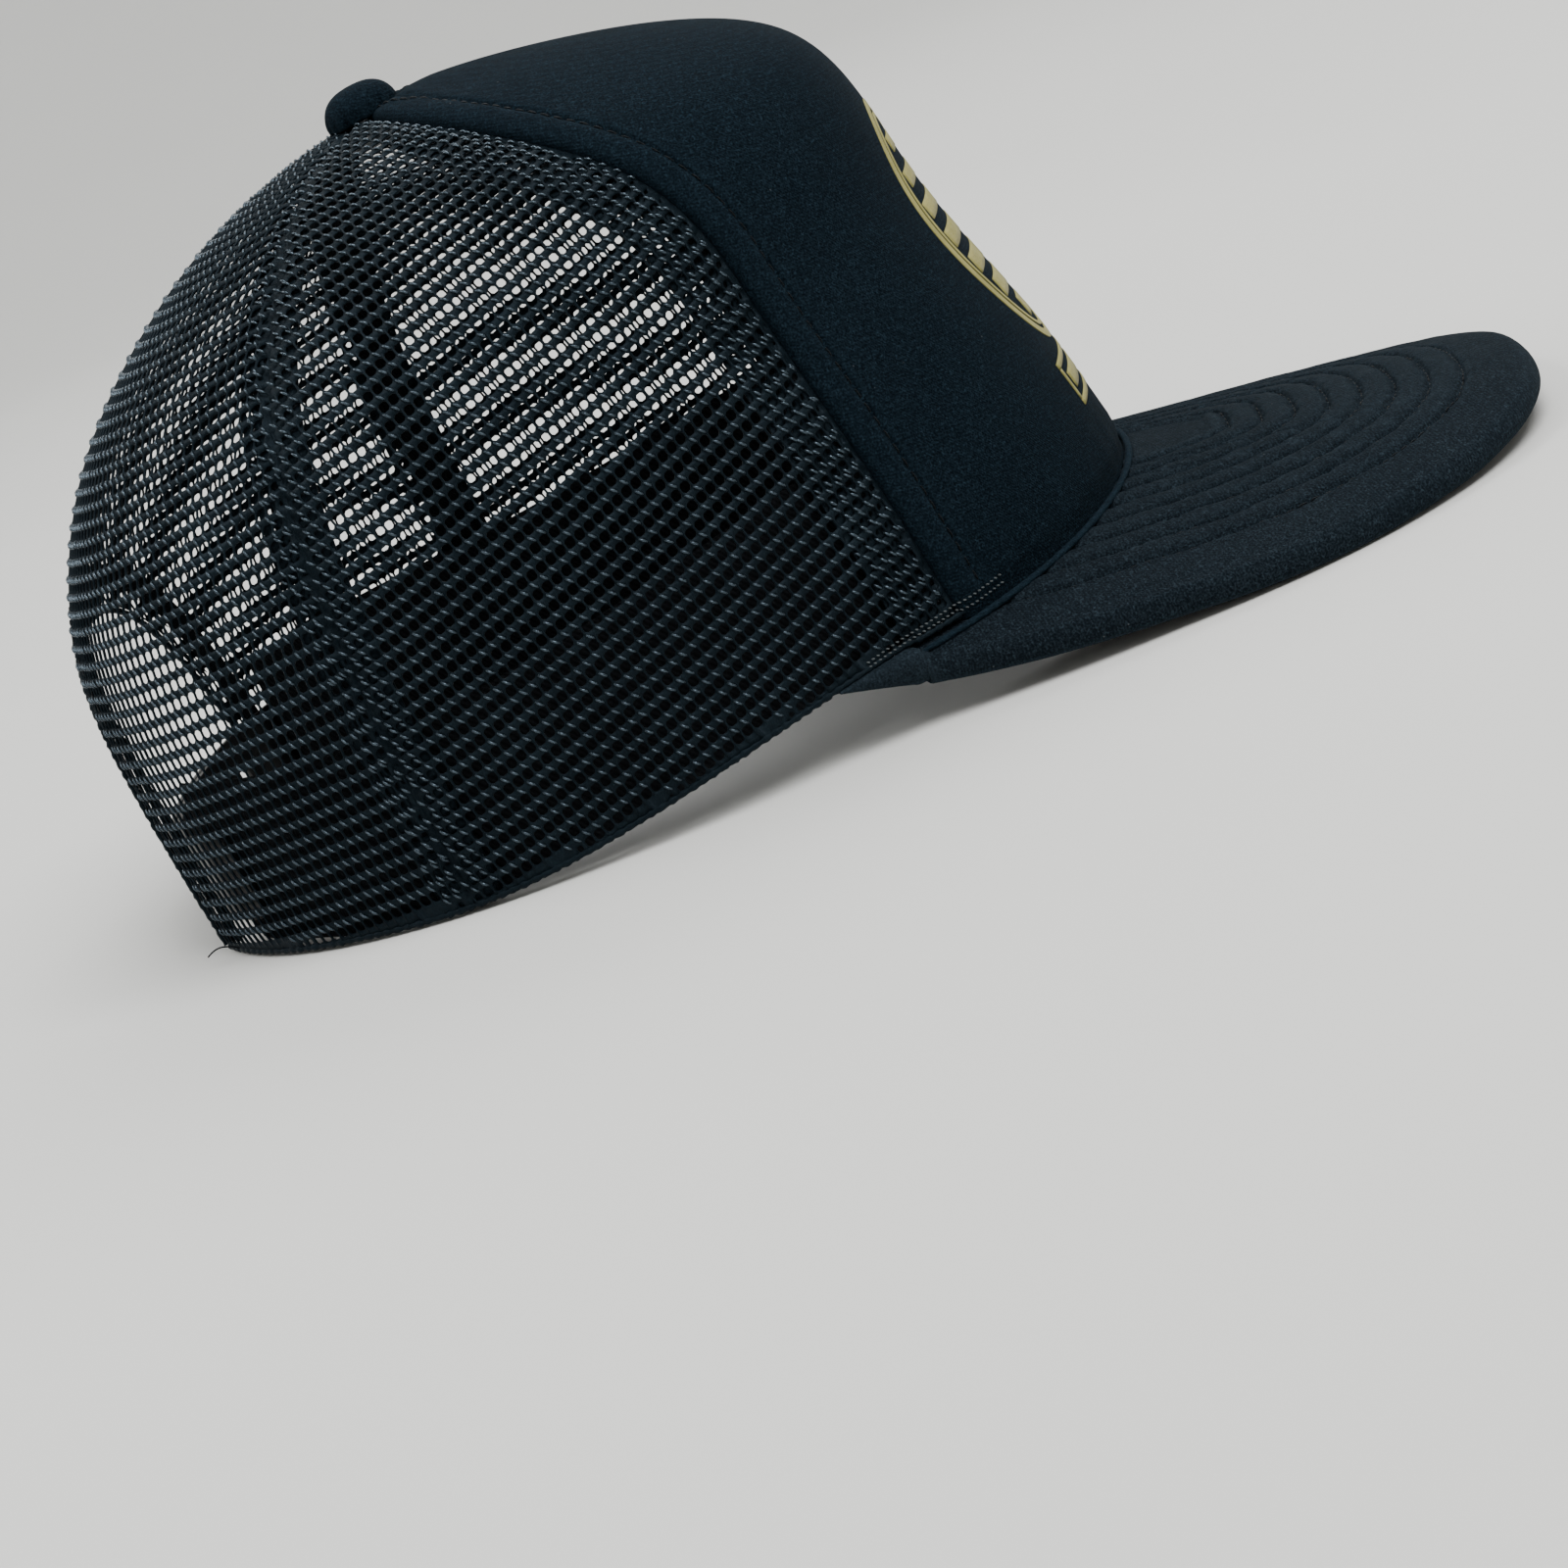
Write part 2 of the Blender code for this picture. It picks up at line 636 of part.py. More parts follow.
def lathe(name, profile, finish, sides=24):
    """Spin a closed (radius, height) outline about the crown's top. Height 0 is the top."""
    bm = bmesh.new()
    rings = []
    for radius, height in profile:
        if radius == 0.0:
            top = stand((0.0, BUTTON_Y, CROWN_HEIGHT + height))
            rings.append([bm.verts.new(top)])
            continue
        ring = []
        for k in range(sides):
            angle = 2.0 * math.pi * k / sides
            ring.append(bm.verts.new(stand((radius * math.cos(angle),
                                            BUTTON_Y + radius * math.sin(angle),
                                            CROWN_HEIGHT + height))))
        rings.append(ring)
    for first, second in zip(rings, rings[1:] + rings[:1]):
        if len(first) == 1 and len(second) == 1:
            continue
        for k in range(sides):
            following = (k + 1) % sides
            if len(first) == 1:
                bm.faces.new((first[0], second[k], second[following]))
            elif len(second) == 1:
                bm.faces.new((first[k], first[following], second[0]))
            else:
                bm.faces.new((first[k], first[following], second[following], second[k]))
    return add_object(name, bm, finish)


def dome(radius, height, base, steps=6):
    points = []
    for i in range(steps + 1):
        angle = math.pi / 2 * i / steps
        across = radius * signed_power(math.cos(angle), DOME_POWER) if i < steps else 0.0
        points.append((across, base + height * math.sin(angle)))
    return points


def build_button():
    cover_in = BUTTON_RADIUS - BUTTON_CLOTH
    cover_top = BUTTON_HEIGHT - BUTTON_CLOTH
    outer = dome(BUTTON_RADIUS, BUTTON_HEIGHT, BUTTON_LIFT)
    inner = dome(cover_in, cover_top, BUTTON_LIFT)
    lathe("button_cover", outer + inner[::-1], BLACK_KNIT)
    cap_outer = dome(cover_in - GAP, cover_top - GAP, BUTTON_LIFT)
    cap_inner = dome(cover_in - GAP - BUTTON_SHELL, cover_top - GAP - BUTTON_SHELL, BUTTON_LIFT)
    lathe("button_shell", cap_outer + cap_inner[::-1], GREY_METAL)
    tip = BUTTON_LIFT + RIVET_REACH
    foot = RIVET_FOOT - RIVET_HEAD_THICKNESS
    rivet = [(0.0, tip), (RIVET_RADIUS, tip), (RIVET_RADIUS, RIVET_FOOT),
             (RIVET_HEAD_RADIUS, RIVET_FOOT), (RIVET_HEAD_RADIUS, foot), (0.0, foot)]
    lathe("button_rivet", rivet, GREY_METAL)


# ---------------------------------------------------------------- snap closure

def strap_arc(x, offset):
    """A point of the strap's plan: an arc bowed to the rear, moved out by the offset."""
    radius = (STRAP_HINGE_X ** 2 + STRAP_BOW ** 2) / (2.0 * STRAP_BOW)
    angle = math.asin(x / radius)
    centre_y = STRAP_HINGE_Y + STRAP_BOW - radius
    reach = radius + offset
    return Vector((reach * math.sin(angle), centre_y + reach * math.cos(angle), 0.0))


def strap_grids(stations, depth):
    """Outer and inner points of a strap. stations holds (x, half height)."""
    middle = (STRAP_LOW + STRAP_HIGH) / 2
    grids = []
    for face in (STRAP_THICKNESS / 2, -STRAP_THICKNESS / 2):
        grid = []
        for x, reach in stations:
            place = strap_arc(x, depth + face)
            grid.append([stand((place.x, place.y, middle + reach * k)) for k in (-1, 0, 1)])
        grids.append(grid)
    return grids


def strap_stations(side):
    """From the hinge to a rounded tip. side is +1 for the strap on the wearer's left."""
    half = (STRAP_HIGH - STRAP_LOW) / 2
    base_x = side * (STRAP_HINGE_X - STRAP_HINGE_GAP)
    tip_x = -side * STRAP_TIP_X
    tip_length = side * half * STRAP_TIP_LENGTH
    straight, rounded = 12, 5
    stations = [(base_x + (tip_x + tip_length - base_x) * i / straight, half)
                for i in range(straight + 1)]
    for i in range(1, rounded + 1):
        angle = math.pi / 2 * i / rounded
        stations.append((tip_x + tip_length * (1.0 - math.sin(angle)),
                         half * (STRAP_TIP_HEIGHT
                                 + (1.0 - STRAP_TIP_HEIGHT) * math.cos(angle))))
    return stations


def hinge_place(side, depth):
    place = strap_arc(side * STRAP_HINGE_X, depth)
    return stand((place.x, place.y, (STRAP_LOW + STRAP_HIGH) / 2))


def build_strap(name, side, depth):
    outer, inner = strap_grids(strap_stations(side), depth)
    return slab(name, outer, inner, BLACK_PLASTIC, origin=hinge_place(side, depth))


def build_tab(name, side, depth):
    """The sewn end of a strap: it follows the crown's wall and stops at the living hinge."""
    middle = (STRAP_LOW + STRAP_HIGH) / 2
    half = (STRAP_HIGH - STRAP_LOW) / 2
    wall_depth = HOLE_TAB_DEPTH if depth > 0.0 else PEG_TAB_DEPTH
    steps = 4
    centres = []
    for i in range(steps + 1):
        turn = math.radians(TAB_START_TURN + (TAB_END_TURN - TAB_START_TURN) * i / steps)
        wall = level_crown_point(turn, TAB_RISE)
        wall.z = 0.0
        out = rim_normal(turn)
        place = wall - out * wall_depth
        centres.append((Vector((-side * place.x, place.y, 0.0)),
                        Vector((-side * out.x, out.y, 0.0))))
    end = strap_arc(side * (STRAP_HINGE_X + STRAP_HINGE_GAP), depth)
    out = (strap_arc(side * STRAP_HINGE_X, 1.0) - strap_arc(side * STRAP_HINGE_X, 0.0))
    centres.append((end, out))
    grids = []
    for face in (STRAP_THICKNESS / 2, -STRAP_THICKNESS / 2):
        grids.append([[stand((place.x + out.x * face, place.y + out.y * face,
                              middle + half * k)) for k in (-1, 0, 1)]
                      for place, out in centres])
    slab(name, grids[0], grids[1], BLACK_PLASTIC)


def snap_tool(name, first_x, profile):
    """A row of round studs square to the strap. profile holds (depth, radius)."""
    bm = bmesh.new()
    sides = 16
    middle = (STRAP_LOW + STRAP_HIGH) / 2
    for i in range(SNAP_COUNT):
        x = first_x + SNAP_PITCH * i
        base = strap_arc(x, 0.0)
        outward = strap_arc(x, 1.0) - base
        across = Vector((outward.y, -outward.x, 0.0))
        rings = []
        for depth, radius in profile:
            ring = []
            for k in range(sides):
                angle = 2.0 * math.pi * k / sides
                place = base + outward * depth + across * (radius * math.cos(angle))
                ring.append(bm.verts.new(stand((place.x, place.y,
                                                middle + radius * math.sin(angle)))))
            rings.append(ring)
        for first, second in zip(rings, rings[1:]):
            for k in range(sides):
                following = (k + 1) % sides
                bm.faces.new((first[k], first[following], second[following], second[k]))
        bm.faces.new(rings[0])
        bm.faces.new(rings[-1])
    tool = add_object(name, bm, BLACK_PLASTIC)
    tool.hide_render = True
    tool.display_type = "WIRE"
    return tool


def combine(item, tool, operation):
    modifier = item.modifiers.new(operation.lower(), "BOOLEAN")
    modifier.operation = operation
    modifier.solver = "EXACT"
    modifier.object = tool


def build_closure():
    """The hole strap lies outside the peg strap, whose pegs point outwards through it."""
    hole_depth = STRAP_THICKNESS + GAP
    hole_strap = build_strap("hole_strap", 1.0, hole_depth)
    build_tab("hole_strap_tab", 1.0, hole_depth)
    peg_strap = build_strap("peg_strap", -1.0, 0.0)
    build_tab("peg_strap_tab", -1.0, 0.0)
    past = 2.0                     # the hole tool reaches this far to each side of the strap
    holes = snap_tool("hole_tool", FIRST_HOLE_X,
                      [(hole_depth - past, HOLE_RADIUS), (hole_depth + past, HOLE_RADIUS)])
    tip = STRAP_THICKNESS / 2 + PEG_LENGTH
    pegs = snap_tool("peg_tool", FIRST_PEG_X,
                     [(0.0, PEG_RADIUS), (tip - PEG_TIP_LENGTH, PEG_RADIUS),
                      (tip, PEG_TIP_RADIUS)])
    combine(hole_strap, holes, "DIFFERENCE")
    combine(peg_strap, pegs, "UNION")


def main():
    clear_scene()
    build_front()
    build_net()
    build_tapes()
    build_sweatband()
    build_visor()
    build_welt()
    build_button()
    build_closure()


main()
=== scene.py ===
"""Black trucker mesh cap: the cloth, net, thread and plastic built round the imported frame.

Shapes are worked out in millimetres in a frame level with the head opening, and stand()
tips them onto the table as the CAD part does. turn runs round the crown from 0 at the
forehead (positive on the wearer's right), and rise from 0 at the rim to 1 at the button.
"""

import math

import bmesh
import bpy
import numpy as np
from mathutils import Matrix, Vector


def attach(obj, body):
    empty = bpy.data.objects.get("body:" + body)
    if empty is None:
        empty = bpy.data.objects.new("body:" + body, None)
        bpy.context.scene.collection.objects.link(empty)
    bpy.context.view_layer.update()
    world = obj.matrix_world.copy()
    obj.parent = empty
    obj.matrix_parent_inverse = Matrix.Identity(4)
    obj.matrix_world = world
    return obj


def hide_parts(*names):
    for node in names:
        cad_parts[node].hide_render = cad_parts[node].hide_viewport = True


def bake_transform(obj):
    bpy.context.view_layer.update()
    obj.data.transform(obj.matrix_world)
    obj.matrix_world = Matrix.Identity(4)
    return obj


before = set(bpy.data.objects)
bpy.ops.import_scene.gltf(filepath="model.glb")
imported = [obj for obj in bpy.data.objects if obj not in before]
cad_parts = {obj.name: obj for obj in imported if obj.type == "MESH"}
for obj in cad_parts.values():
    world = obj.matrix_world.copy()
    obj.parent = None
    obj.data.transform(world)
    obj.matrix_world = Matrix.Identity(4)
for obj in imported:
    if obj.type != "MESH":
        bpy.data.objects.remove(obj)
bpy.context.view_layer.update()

MM = 0.001

# The crown, as in the CAD part (millimetres and radians)
RIM_HALF_LENGTH = 101.0
RIM_HALF_WIDTH = 84.0
RIM_SQUARENESS = 2.25
RIM_EGG = 0.07
CROWN_HEIGHT = 124.0
BUTTON_Y = -3.0
REAR_RIM_RISE = 2.5
REST_TILT = math.radians(6.1)
CENTRE_SHIFT = 39.103
LEVEL_RIM_FROM_Y = 45.0
FRONT_PROFILE = [(1.0, 0.0), (0.97, 0.17), (0.921, 0.34), (0.87, 0.52), (0.845, 0.68),
                 (0.78, 0.80), (0.61, 0.885), (0.36, 0.955), (0.13, 0.993), (0.0, 1.0)]
SIDE_PROFILE = [(1.0, 0.0), (1.01, 0.14), (1.005, 0.28), (0.97, 0.43), (0.90, 0.58),
                (0.77, 0.73), (0.58, 0.86), (0.34, 0.95), (0.13, 0.99), (0.0, 1.0)]
REAR_PROFILE = [(1.0, 0.0), (1.0, 0.15), (0.99, 0.31), (0.96, 0.46), (0.89, 0.60),
                (0.76, 0.74), (0.57, 0.86), (0.34, 0.95), (0.13, 0.99), (0.0, 1.0)]
PROFILE_FOCUS = 1.6
PANEL_TOP = 0.96
FRONT_SEAM_TURN = 53.5
FRONT_SEAM_SWEEP = 22.0
FRONT_SEAM_SWEEP_FROM = 0.4
FRONT_SEAM_POWER = 1.8
SIDE_SEAM = math.radians(108.5)
ARCH_HALF_TURN = math.radians(26.9)
ARCH_TOP_RISE = 0.365
ARCH_SQUARENESS = 2.5
GAP = 0.3
COVER_PROUD = 1.5
PAD_BOTTOM = -2.4
LINING_TOP = -2.7
LINING_BOTTOM = -3.1

# The visor, as in the CAD part
VISOR_DROOP = math.radians(12.5)
VISOR_LENGTH = 77.5
VISOR_HALF_WIDTH = 77.0
VISOR_CORNER = math.radians(61.0)
VISOR_ROUNDNESS = 2.6
VISOR_CROSS_CURVE = 0.0022
VISOR_CORNER_WIDTH = 6.0
VISOR_SEAT = 1.4
VISOR_TUCK = 2.9
VISOR_MIDDLE = -2.75
EDGE_WIDTH = 2.6
EDGE_HEIGHT = 2.75
QUILT_FIRST = 13.0             # distance of the first stitch row from the visor's edge
QUILT_PITCH = 6.3
QUILT_ROWS = 8

# Net
NET_PITCH = 2.2
NET_ROW = 3.3
NET_TILT = math.radians(-9.0)

# Snap closure, as in the CAD part
STRAP_HINGE_X = 39.0
STRAP_HINGE_Y = 88.4
STRAP_BOW = 6.0
STRAP_THICKNESS = 1.2
STRAP_LOW = 6.0
STRAP_HIGH = 24.0
STRAP_TIP_X = 27.0
SNAP_COUNT = 7
SNAP_PITCH = 9.0
FIRST_HOLE_X = -22.5
FIRST_PEG_X = -31.5
HOLE_RADIUS = 2.5
TAB_START_TURN = 141.0
TAB_END_TURN = 151.5
TAB_RISE = 0.08
HOLE_TAB_DEPTH = 3.2
PEG_TAB_DEPTH = 4.8


# ---------------------------------------------------------------- crown surface

def smooth(value):
    value = np.clip(value, 0.0, 1.0)
    return value * value * (3.0 - 2.0 * value)


def signed_power(value, power):
    return np.sign(value) * np.abs(value) ** power


def bell(distance, width):
    return np.exp(-(distance / width) ** 2)


def distances(path):
    """How far along a polyline each of its points lies."""
    return np.concatenate([[0.0], np.cumsum(np.linalg.norm(np.diff(path, axis=0), axis=1))])


def spline(points):
    """A natural cubic through evenly spaced points, as a function of arrays of 0 to 1."""
    values = np.array(points, float)
    last = len(values) - 1
    system = np.eye(last + 1)
    right = np.zeros_like(values)
    for row in range(1, last):
        system[row, row - 1:row + 2] = (1.0, 4.0, 1.0)
        right[row] = 6.0 * (values[row - 1] - 2.0 * values[row] + values[row + 1])
    bends = np.linalg.solve(system, right)

    def at(share):
        place = np.clip(share, 0.0, 1.0) * last
        cell = np.minimum(place.astype(int), last - 1)
        after = (place - cell)[..., None]
        before = 1.0 - after
        line = before * values[cell] + after * values[cell + 1]
        bow = (before ** 3 - before) * bends[cell] + (after ** 3 - after) * bends[cell + 1]
        return line + bow / 6.0
    return at


front_profile = spline(FRONT_PROFILE)
side_profile = spline(SIDE_PROFILE)
rear_profile = spline(REAR_PROFILE)


def stand_turn(vectors):
    """Turn directions of the level cap into the standing one."""
    v = np.asarray(vectors, float)
    c, s = math.cos(REST_TILT), math.sin(REST_TILT)
    return np.stack([v[..., 0], v[..., 1] * c + v[..., 2] * s,
                     -v[..., 1] * s + v[..., 2] * c], -1)


def stand(points):
    """Tip points of the level cap onto the table."""
    c, s = math.cos(REST_TILT), math.sin(REST_TILT)
    lift = RIM_HALF_LENGTH * s - REAR_RIM_RISE * c
    return stand_turn(points) + np.array([0.0, CENTRE_SHIFT, lift])


def stand_plan(plan, z):
    """Standing points from plan points of the level cap and their heights."""
    return stand(np.concatenate([plan, np.broadcast_to(z, plan.shape[:-1])[..., None]], -1))


def stand_out(out):
    """Standing directions from plan directions of the level cap."""
    return stand_turn(np.concatenate([out, np.zeros(out.shape[:-1] + (1,))], -1))


def rim_plan(turn):
    """The rim's outline in plan."""
    c, s = np.cos(turn), np.sin(turn)
    power = 2.0 / RIM_SQUARENESS
    x = -RIM_HALF_WIDTH * signed_power(s, power) * (1.0 - RIM_EGG * c)
    return np.stack([x, -RIM_HALF_LENGTH * signed_power(c, power)], -1)


CORNER_X, CORNER_Y = rim_plan(np.array(VISOR_CORNER))
NORMAL_STEP = 0.004            # turn or rise between the points that a normal is taken from


def rim_normal(turn):
    """Outward direction of the rim's outline in plan."""
    step = NORMAL_STEP
    along = rim_plan(turn + step) - rim_plan(turn - step)
    out = np.stack([along[..., 1], -along[..., 0]], -1)
    out /= np.linalg.norm(out, axis=-1, keepdims=True)
    flip = np.sum(out * rim_plan(turn), -1, keepdims=True) < 0.0
    return np.where(flip, -out, out)


def visor_height(x, y):
    """Height of the visor's arch over its corners."""
    return VISOR_CROSS_CURVE * (CORNER_X ** 2 - x ** 2) + math.tan(VISOR_DROOP) * (y - CORNER_Y)


def rim_height(turn):
    """Height of the rim: on the visor in front, level on the table at the back."""
    plan = rim_plan(turn)
    x, y = plan[..., 0], plan[..., 1]
    slope = math.tan(REST_TILT)
    run = LEVEL_RIM_FROM_Y - CORNER_Y
    share = (y - CORNER_Y) / run
    end = REAR_RIM_RISE + slope * (LEVEL_RIM_FROM_Y - RIM_HALF_LENGTH)
    between = end * smooth(share) + slope * run * (share ** 3 - share ** 2)
    level = REAR_RIM_RISE + slope * (y - RIM_HALF_LENGTH)
    return np.where(y < CORNER_Y, visor_height(x, y),
                    np.where(y > LEVEL_RIM_FROM_Y, level, between))


def crown(turn, rise):
    """Standing points of the crown's surface."""
    turn, rise = np.broadcast_arrays(np.asarray(turn, float), np.asarray(rise, float))
    plan = rim_plan(turn)
    z = rim_height(turn)
    front = ((1.0 + np.cos(turn)) / 2.0) ** PROFILE_FOCUS
    rear = ((1.0 - np.cos(turn)) / 2.0) ** PROFILE_FOCUS
    shape = (front[..., None] * front_profile(rise) + rear[..., None] * rear_profile(rise)
             + (1.0 - front - rear)[..., None] * side_profile(rise))
    radius, height = shape[..., 0], shape[..., 1]
    level = np.stack([plan[..., 0] * radius, BUTTON_Y + (plan[..., 1] - BUTTON_Y) * radius,
                      z + (CROWN_HEIGHT - z) * height], -1)
    return stand(level)


def unit(vectors):
    return vectors / np.maximum(np.linalg.norm(vectors, axis=-1, keepdims=True), 1e-9)


def crown_normal(turn, rise):
    """Outward normal, level at the rim so that every layer ends on the same plane."""
    turn, rise = np.broadcast_arrays(np.asarray(turn, float), np.asarray(rise, float))
    step = NORMAL_STEP
    round_it = crown(turn + step, rise) - crown(turn - step, rise)
    low, high = np.maximum(rise - step, 0.0), np.minimum(rise + step, 0.999)
    normal = unit(np.cross(crown(turn, high) - crown(turn, low), round_it))
    normal[..., 2] *= smooth(rise / 0.05)
    return unit(normal)


def layer(turn, rise, offset):
    """Points at a height over the crown's surface."""
    return crown(turn, rise) + crown_normal(turn, rise) * np.asarray(offset)[..., None]


def front_seam(rise):
    """Turn of the seam between the front pad and the side net."""
    past = np.maximum(rise - FRONT_SEAM_SWEEP_FROM, 0.0) / 0.5
    return np.radians(FRONT_SEAM_TURN + FRONT_SEAM_SWEEP * past ** FRONT_SEAM_POWER)


class Chart:
    """Millimetre coordinates on the crown: x round it from a meridian, s up the meridian.

    middle is the meridian's turn, low and high the turns at the chart's ends, in degrees.
    """

    def __init__(self, middle, low, high, rows=150, columns=240):
        middle, low, high = map(math.radians, (middle, low, high))
        self.rises = np.linspace(0.0, 0.985, rows)
        turns = np.linspace(low, high, columns)
        self.turns = np.broadcast_to(turns, (rows, columns))
        grid = crown(turns[None, :], self.rises[:, None])
        steps = np.linalg.norm(np.diff(grid, axis=1), axis=2)
        along = np.concatenate([np.zeros((rows, 1)), np.cumsum(steps, 1)], 1)
        start = np.array([np.interp(middle, turns, row) for row in along])
        self.across = along - start[:, None]
        self.up = distances(crown(np.full(rows, middle), self.rises))

    def rise_at(self, s):
        return np.interp(s, self.up, self.rises)

    def height_at(self, rise):
        return np.interp(rise, self.rises, self.up)

    def convert(self, values, rise, known, wanted):
        """Look values up in the two chart rows round each rise and blend what they give."""
        row = np.interp(rise, self.rises, np.arange(len(self.rises)))
        below = np.minimum(row.astype(int), len(self.rises) - 2)
        share = row - below
        found = np.empty_like(rise)
        for k in np.unique(below):
            here = below == k
            a, b = (np.interp(values[here], known[i], wanted[i]) for i in (k, k + 1))
            found[here] = a + (b - a) * share[here]
        return found

    def turn_at(self, x, rise):
        return self.convert(x, rise, self.across, self.turns)

    def place(self, x, s):
        """(turn, rise) at chart coordinates."""
        rise = self.rise_at(s)
        return self.turn_at(x, rise), rise

    def locate(self, turn, rise):
        """Chart coordinates at (turn, rise)."""
        x = self.convert(turn, rise, self.turns, self.across)
        return np.stack([x, self.height_at(rise)], -1)


front_chart = Chart(0.0, -120.0, 120.0)
side_chart = Chart(82.0, 20.0, 150.0)
rear_chart = Chart(146.0, 90.0, 185.0)


# ---------------------------------------------------------------- mesh making

class Shape:
    """Points in millimetres and faces, gathered from several closed shells."""

    def __init__(self):
        self.points = []
        self.faces = []
        self.count = 0
        self.second_from = None    # first face that takes the second material

    def add(self, points, faces):
        points = np.asarray(points, float).reshape(-1, 3)
        self.faces += [tuple(int(k) + self.count for k in face) for face in faces]
        self.points.append(points)
        self.count += len(points)
        return self

    def mirrored(self):
        other = Shape()
        other.add(np.concatenate(self.points) * np.array([-1.0, 1.0, 1.0]), self.faces)
        other.second_from = self.second_from
        return other


def grid_faces(rows, columns, wrap=False, start=0, flip=False):
    """Quads between neighbouring points of a grid, whose columns form a ring with wrap."""
    faces = []
    for i in range(rows - 1):
        for j in range(columns if wrap else columns - 1):
            a = start + i * columns + j
            b = start + i * columns + (j + 1) % columns
            c, d = b + columns, a + columns
            faces.append((d, c, b, a) if flip else (a, b, c, d))
    return faces


def sheet(outer, inner, wrap=False):
    """A closed sheet between two grids of points. With wrap its columns form a ring."""
    rows, columns = outer.shape[:2]
    size = rows * columns
    faces = grid_faces(rows, columns, wrap)
    faces += grid_faces(rows, columns, wrap, start=size, flip=True)
    for j in range(columns if wrap else columns - 1):
        k = (j + 1) % columns
        top = (rows - 1) * columns
        faces.append((k, j, size + j, size + k))
        faces.append((top + j, top + k, size + top + k, size + top + j))
    if not wrap:
        for i in range(rows - 1):
            for j in (0, columns - 1):
                a, b = i * columns + j, (i + 1) * columns + j
                faces.append((a, b, size + b, size + a) if j == 0
                             else (b, a, size + a, size + b))
    return np.concatenate([outer.reshape(-1, 3), inner.reshape(-1, 3)]), faces


def round_pairs(count):
    """Each place of a ring with the next one."""
    return [(k, (k + 1) % count) for k in range(count)]


def tube_faces(rings, sides):
    """Faces of a tube of rings, closed at both ends."""
    last = (rings - 1) * sides
    return grid_faces(rings, sides, wrap=True) + [tuple(range(sides))[::-1],
                                                  tuple(range(last, last + sides))]


def tube_points(path, normals, profile):
    """Profile points (sideways, outwards) carried along paths, whose points lie on axis -2."""
    along = unit(np.gradient(path, axis=-2))
    side = unit(np.cross(along, normals))
    up = np.cross(side, along)
    return (path[..., None, :] + side[..., None, :] * profile[..., :1]
            + up[..., None, :] * profile[..., 1:])


def sweep(path, normals, profile):
    """A closed tube along one path."""
    points = tube_points(path, normals, profile)
    return points, tube_faces(*points.shape[:2])


def round_profile(width, height, sides=8):
    """An ellipse of points from its two half sizes."""
    angles = np.arange(sides) * 2.0 * math.pi / sides
    return np.stack([width * np.cos(angles), height * np.sin(angles)], -1)


def face_outwards(mesh, weld=0.0):
    """Turn all faces outwards, after joining points that lie within a distance in metres."""
    work = bmesh.new()
    work.from_mesh(mesh)
    if weld:
        bmesh.ops.remove_doubles(work, verts=work.verts, dist=weld)
    bmesh.ops.recalc_face_normals(work, faces=work.faces)
    work.to_mesh(mesh)
    work.free()


def add_object(name, data):
    item = bpy.data.objects.new(name, data)
    bpy.context.scene.collection.objects.link(item)
    return item


def build(name, shape, material, slot, *stood_for, body="crown", sharp=None, second=None):
    """Make a piece of the object from a Shape and let it ride on a body."""
    mesh = bpy.data.meshes.new(name)
    mesh.from_pydata((np.concatenate(shape.points) * MM).tolist(), [], shape.faces)
    face_outwards(mesh)
    mesh.shade_smooth()
    if sharp:
        mesh.set_sharp_from_angle(angle=math.radians(sharp))
    item = add_object(name, mesh)
    mesh.materials.append(material)
    if second:
        mesh.materials.append(second)
        indexes = np.zeros(len(mesh.polygons), np.int32)
        indexes[shape.second_from:] = 1
        mesh.polygons.foreach_set("material_index", indexes)
    if body:
        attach(item, body)
    if stood_for:
        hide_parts(*stood_for)
    return item


def build_pair(name, shape, material, slot, *stood_for, **more):
    """Build a piece for the right side, and its mirror image for the left."""
    for side, piece in (("_right", shape), ("_left", shape.mirrored())):
        build(name + side, piece, material, slot, *(node + side for node in stood_for), **more)


def resample(path, step, values=()):
    """Points at even steps along a polyline, with other arrays carried along."""
    along = distances(path)
    count = max(int(round(along[-1] / step)), 1)
    places = (np.arange(count) + 0.5) * along[-1] / count
    carried = []
    for array in (path,) + tuple(values):
        carried.append(np.stack([np.interp(places, along, array[:, k]) for k in range(3)], -1))
    return carried


STITCH_STATIONS = np.array([-0.5, -0.38, -0.15, 0.15, 0.38, 0.5])
STITCH_SWELL = np.array([0.35, 0.85, 1.0, 1.0, 0.85, 0.35])
STITCH_LIFT = np.array([-1.0, -0.1, 0.35, 0.35, -0.1, -1.0])


def stitches(shape, path, normals, pitch=3.0, share=0.78, radius=0.22, lean=0.0):
    """Single thread stitches whose ends dive into the cloth, along a line on a surface."""
    places, ups = resample(np.asarray(path), pitch, (np.asarray(normals),))
    along = unit(np.gradient(places, axis=0)) if len(places) > 1 else np.array([[1.0, 0, 0]])
    ups = unit(ups)
    across = unit(np.cross(along, ups))
    ring = round_profile(1.0, 1.0, 6)
    for k, centre in enumerate(places):
        heading = unit(along[k] + across[k] * lean)
        side = unit(np.cross(heading, ups[k]))
        line = (centre + heading * (STITCH_STATIONS * pitch * share)[:, None]
                + ups[k] * (STITCH_LIFT * radius)[:, None])
        swell = (STITCH_SWELL * radius)[:, None, None]
        points = line[:, None] + (side * ring[:, :1] + ups[k] * ring[:, 1:])[None] * swell
        shape.add(points, tube_faces(len(line), len(ring)))


def sew(shape, turn, rise, offset, face, **thread):
    """Stitches along a line on the crown, on its outer face (1) or its inner one (-1)."""
    stitches(shape, layer(turn, rise, np.full_like(turn, offset)),
             crown_normal(turn, rise) * face, **thread)


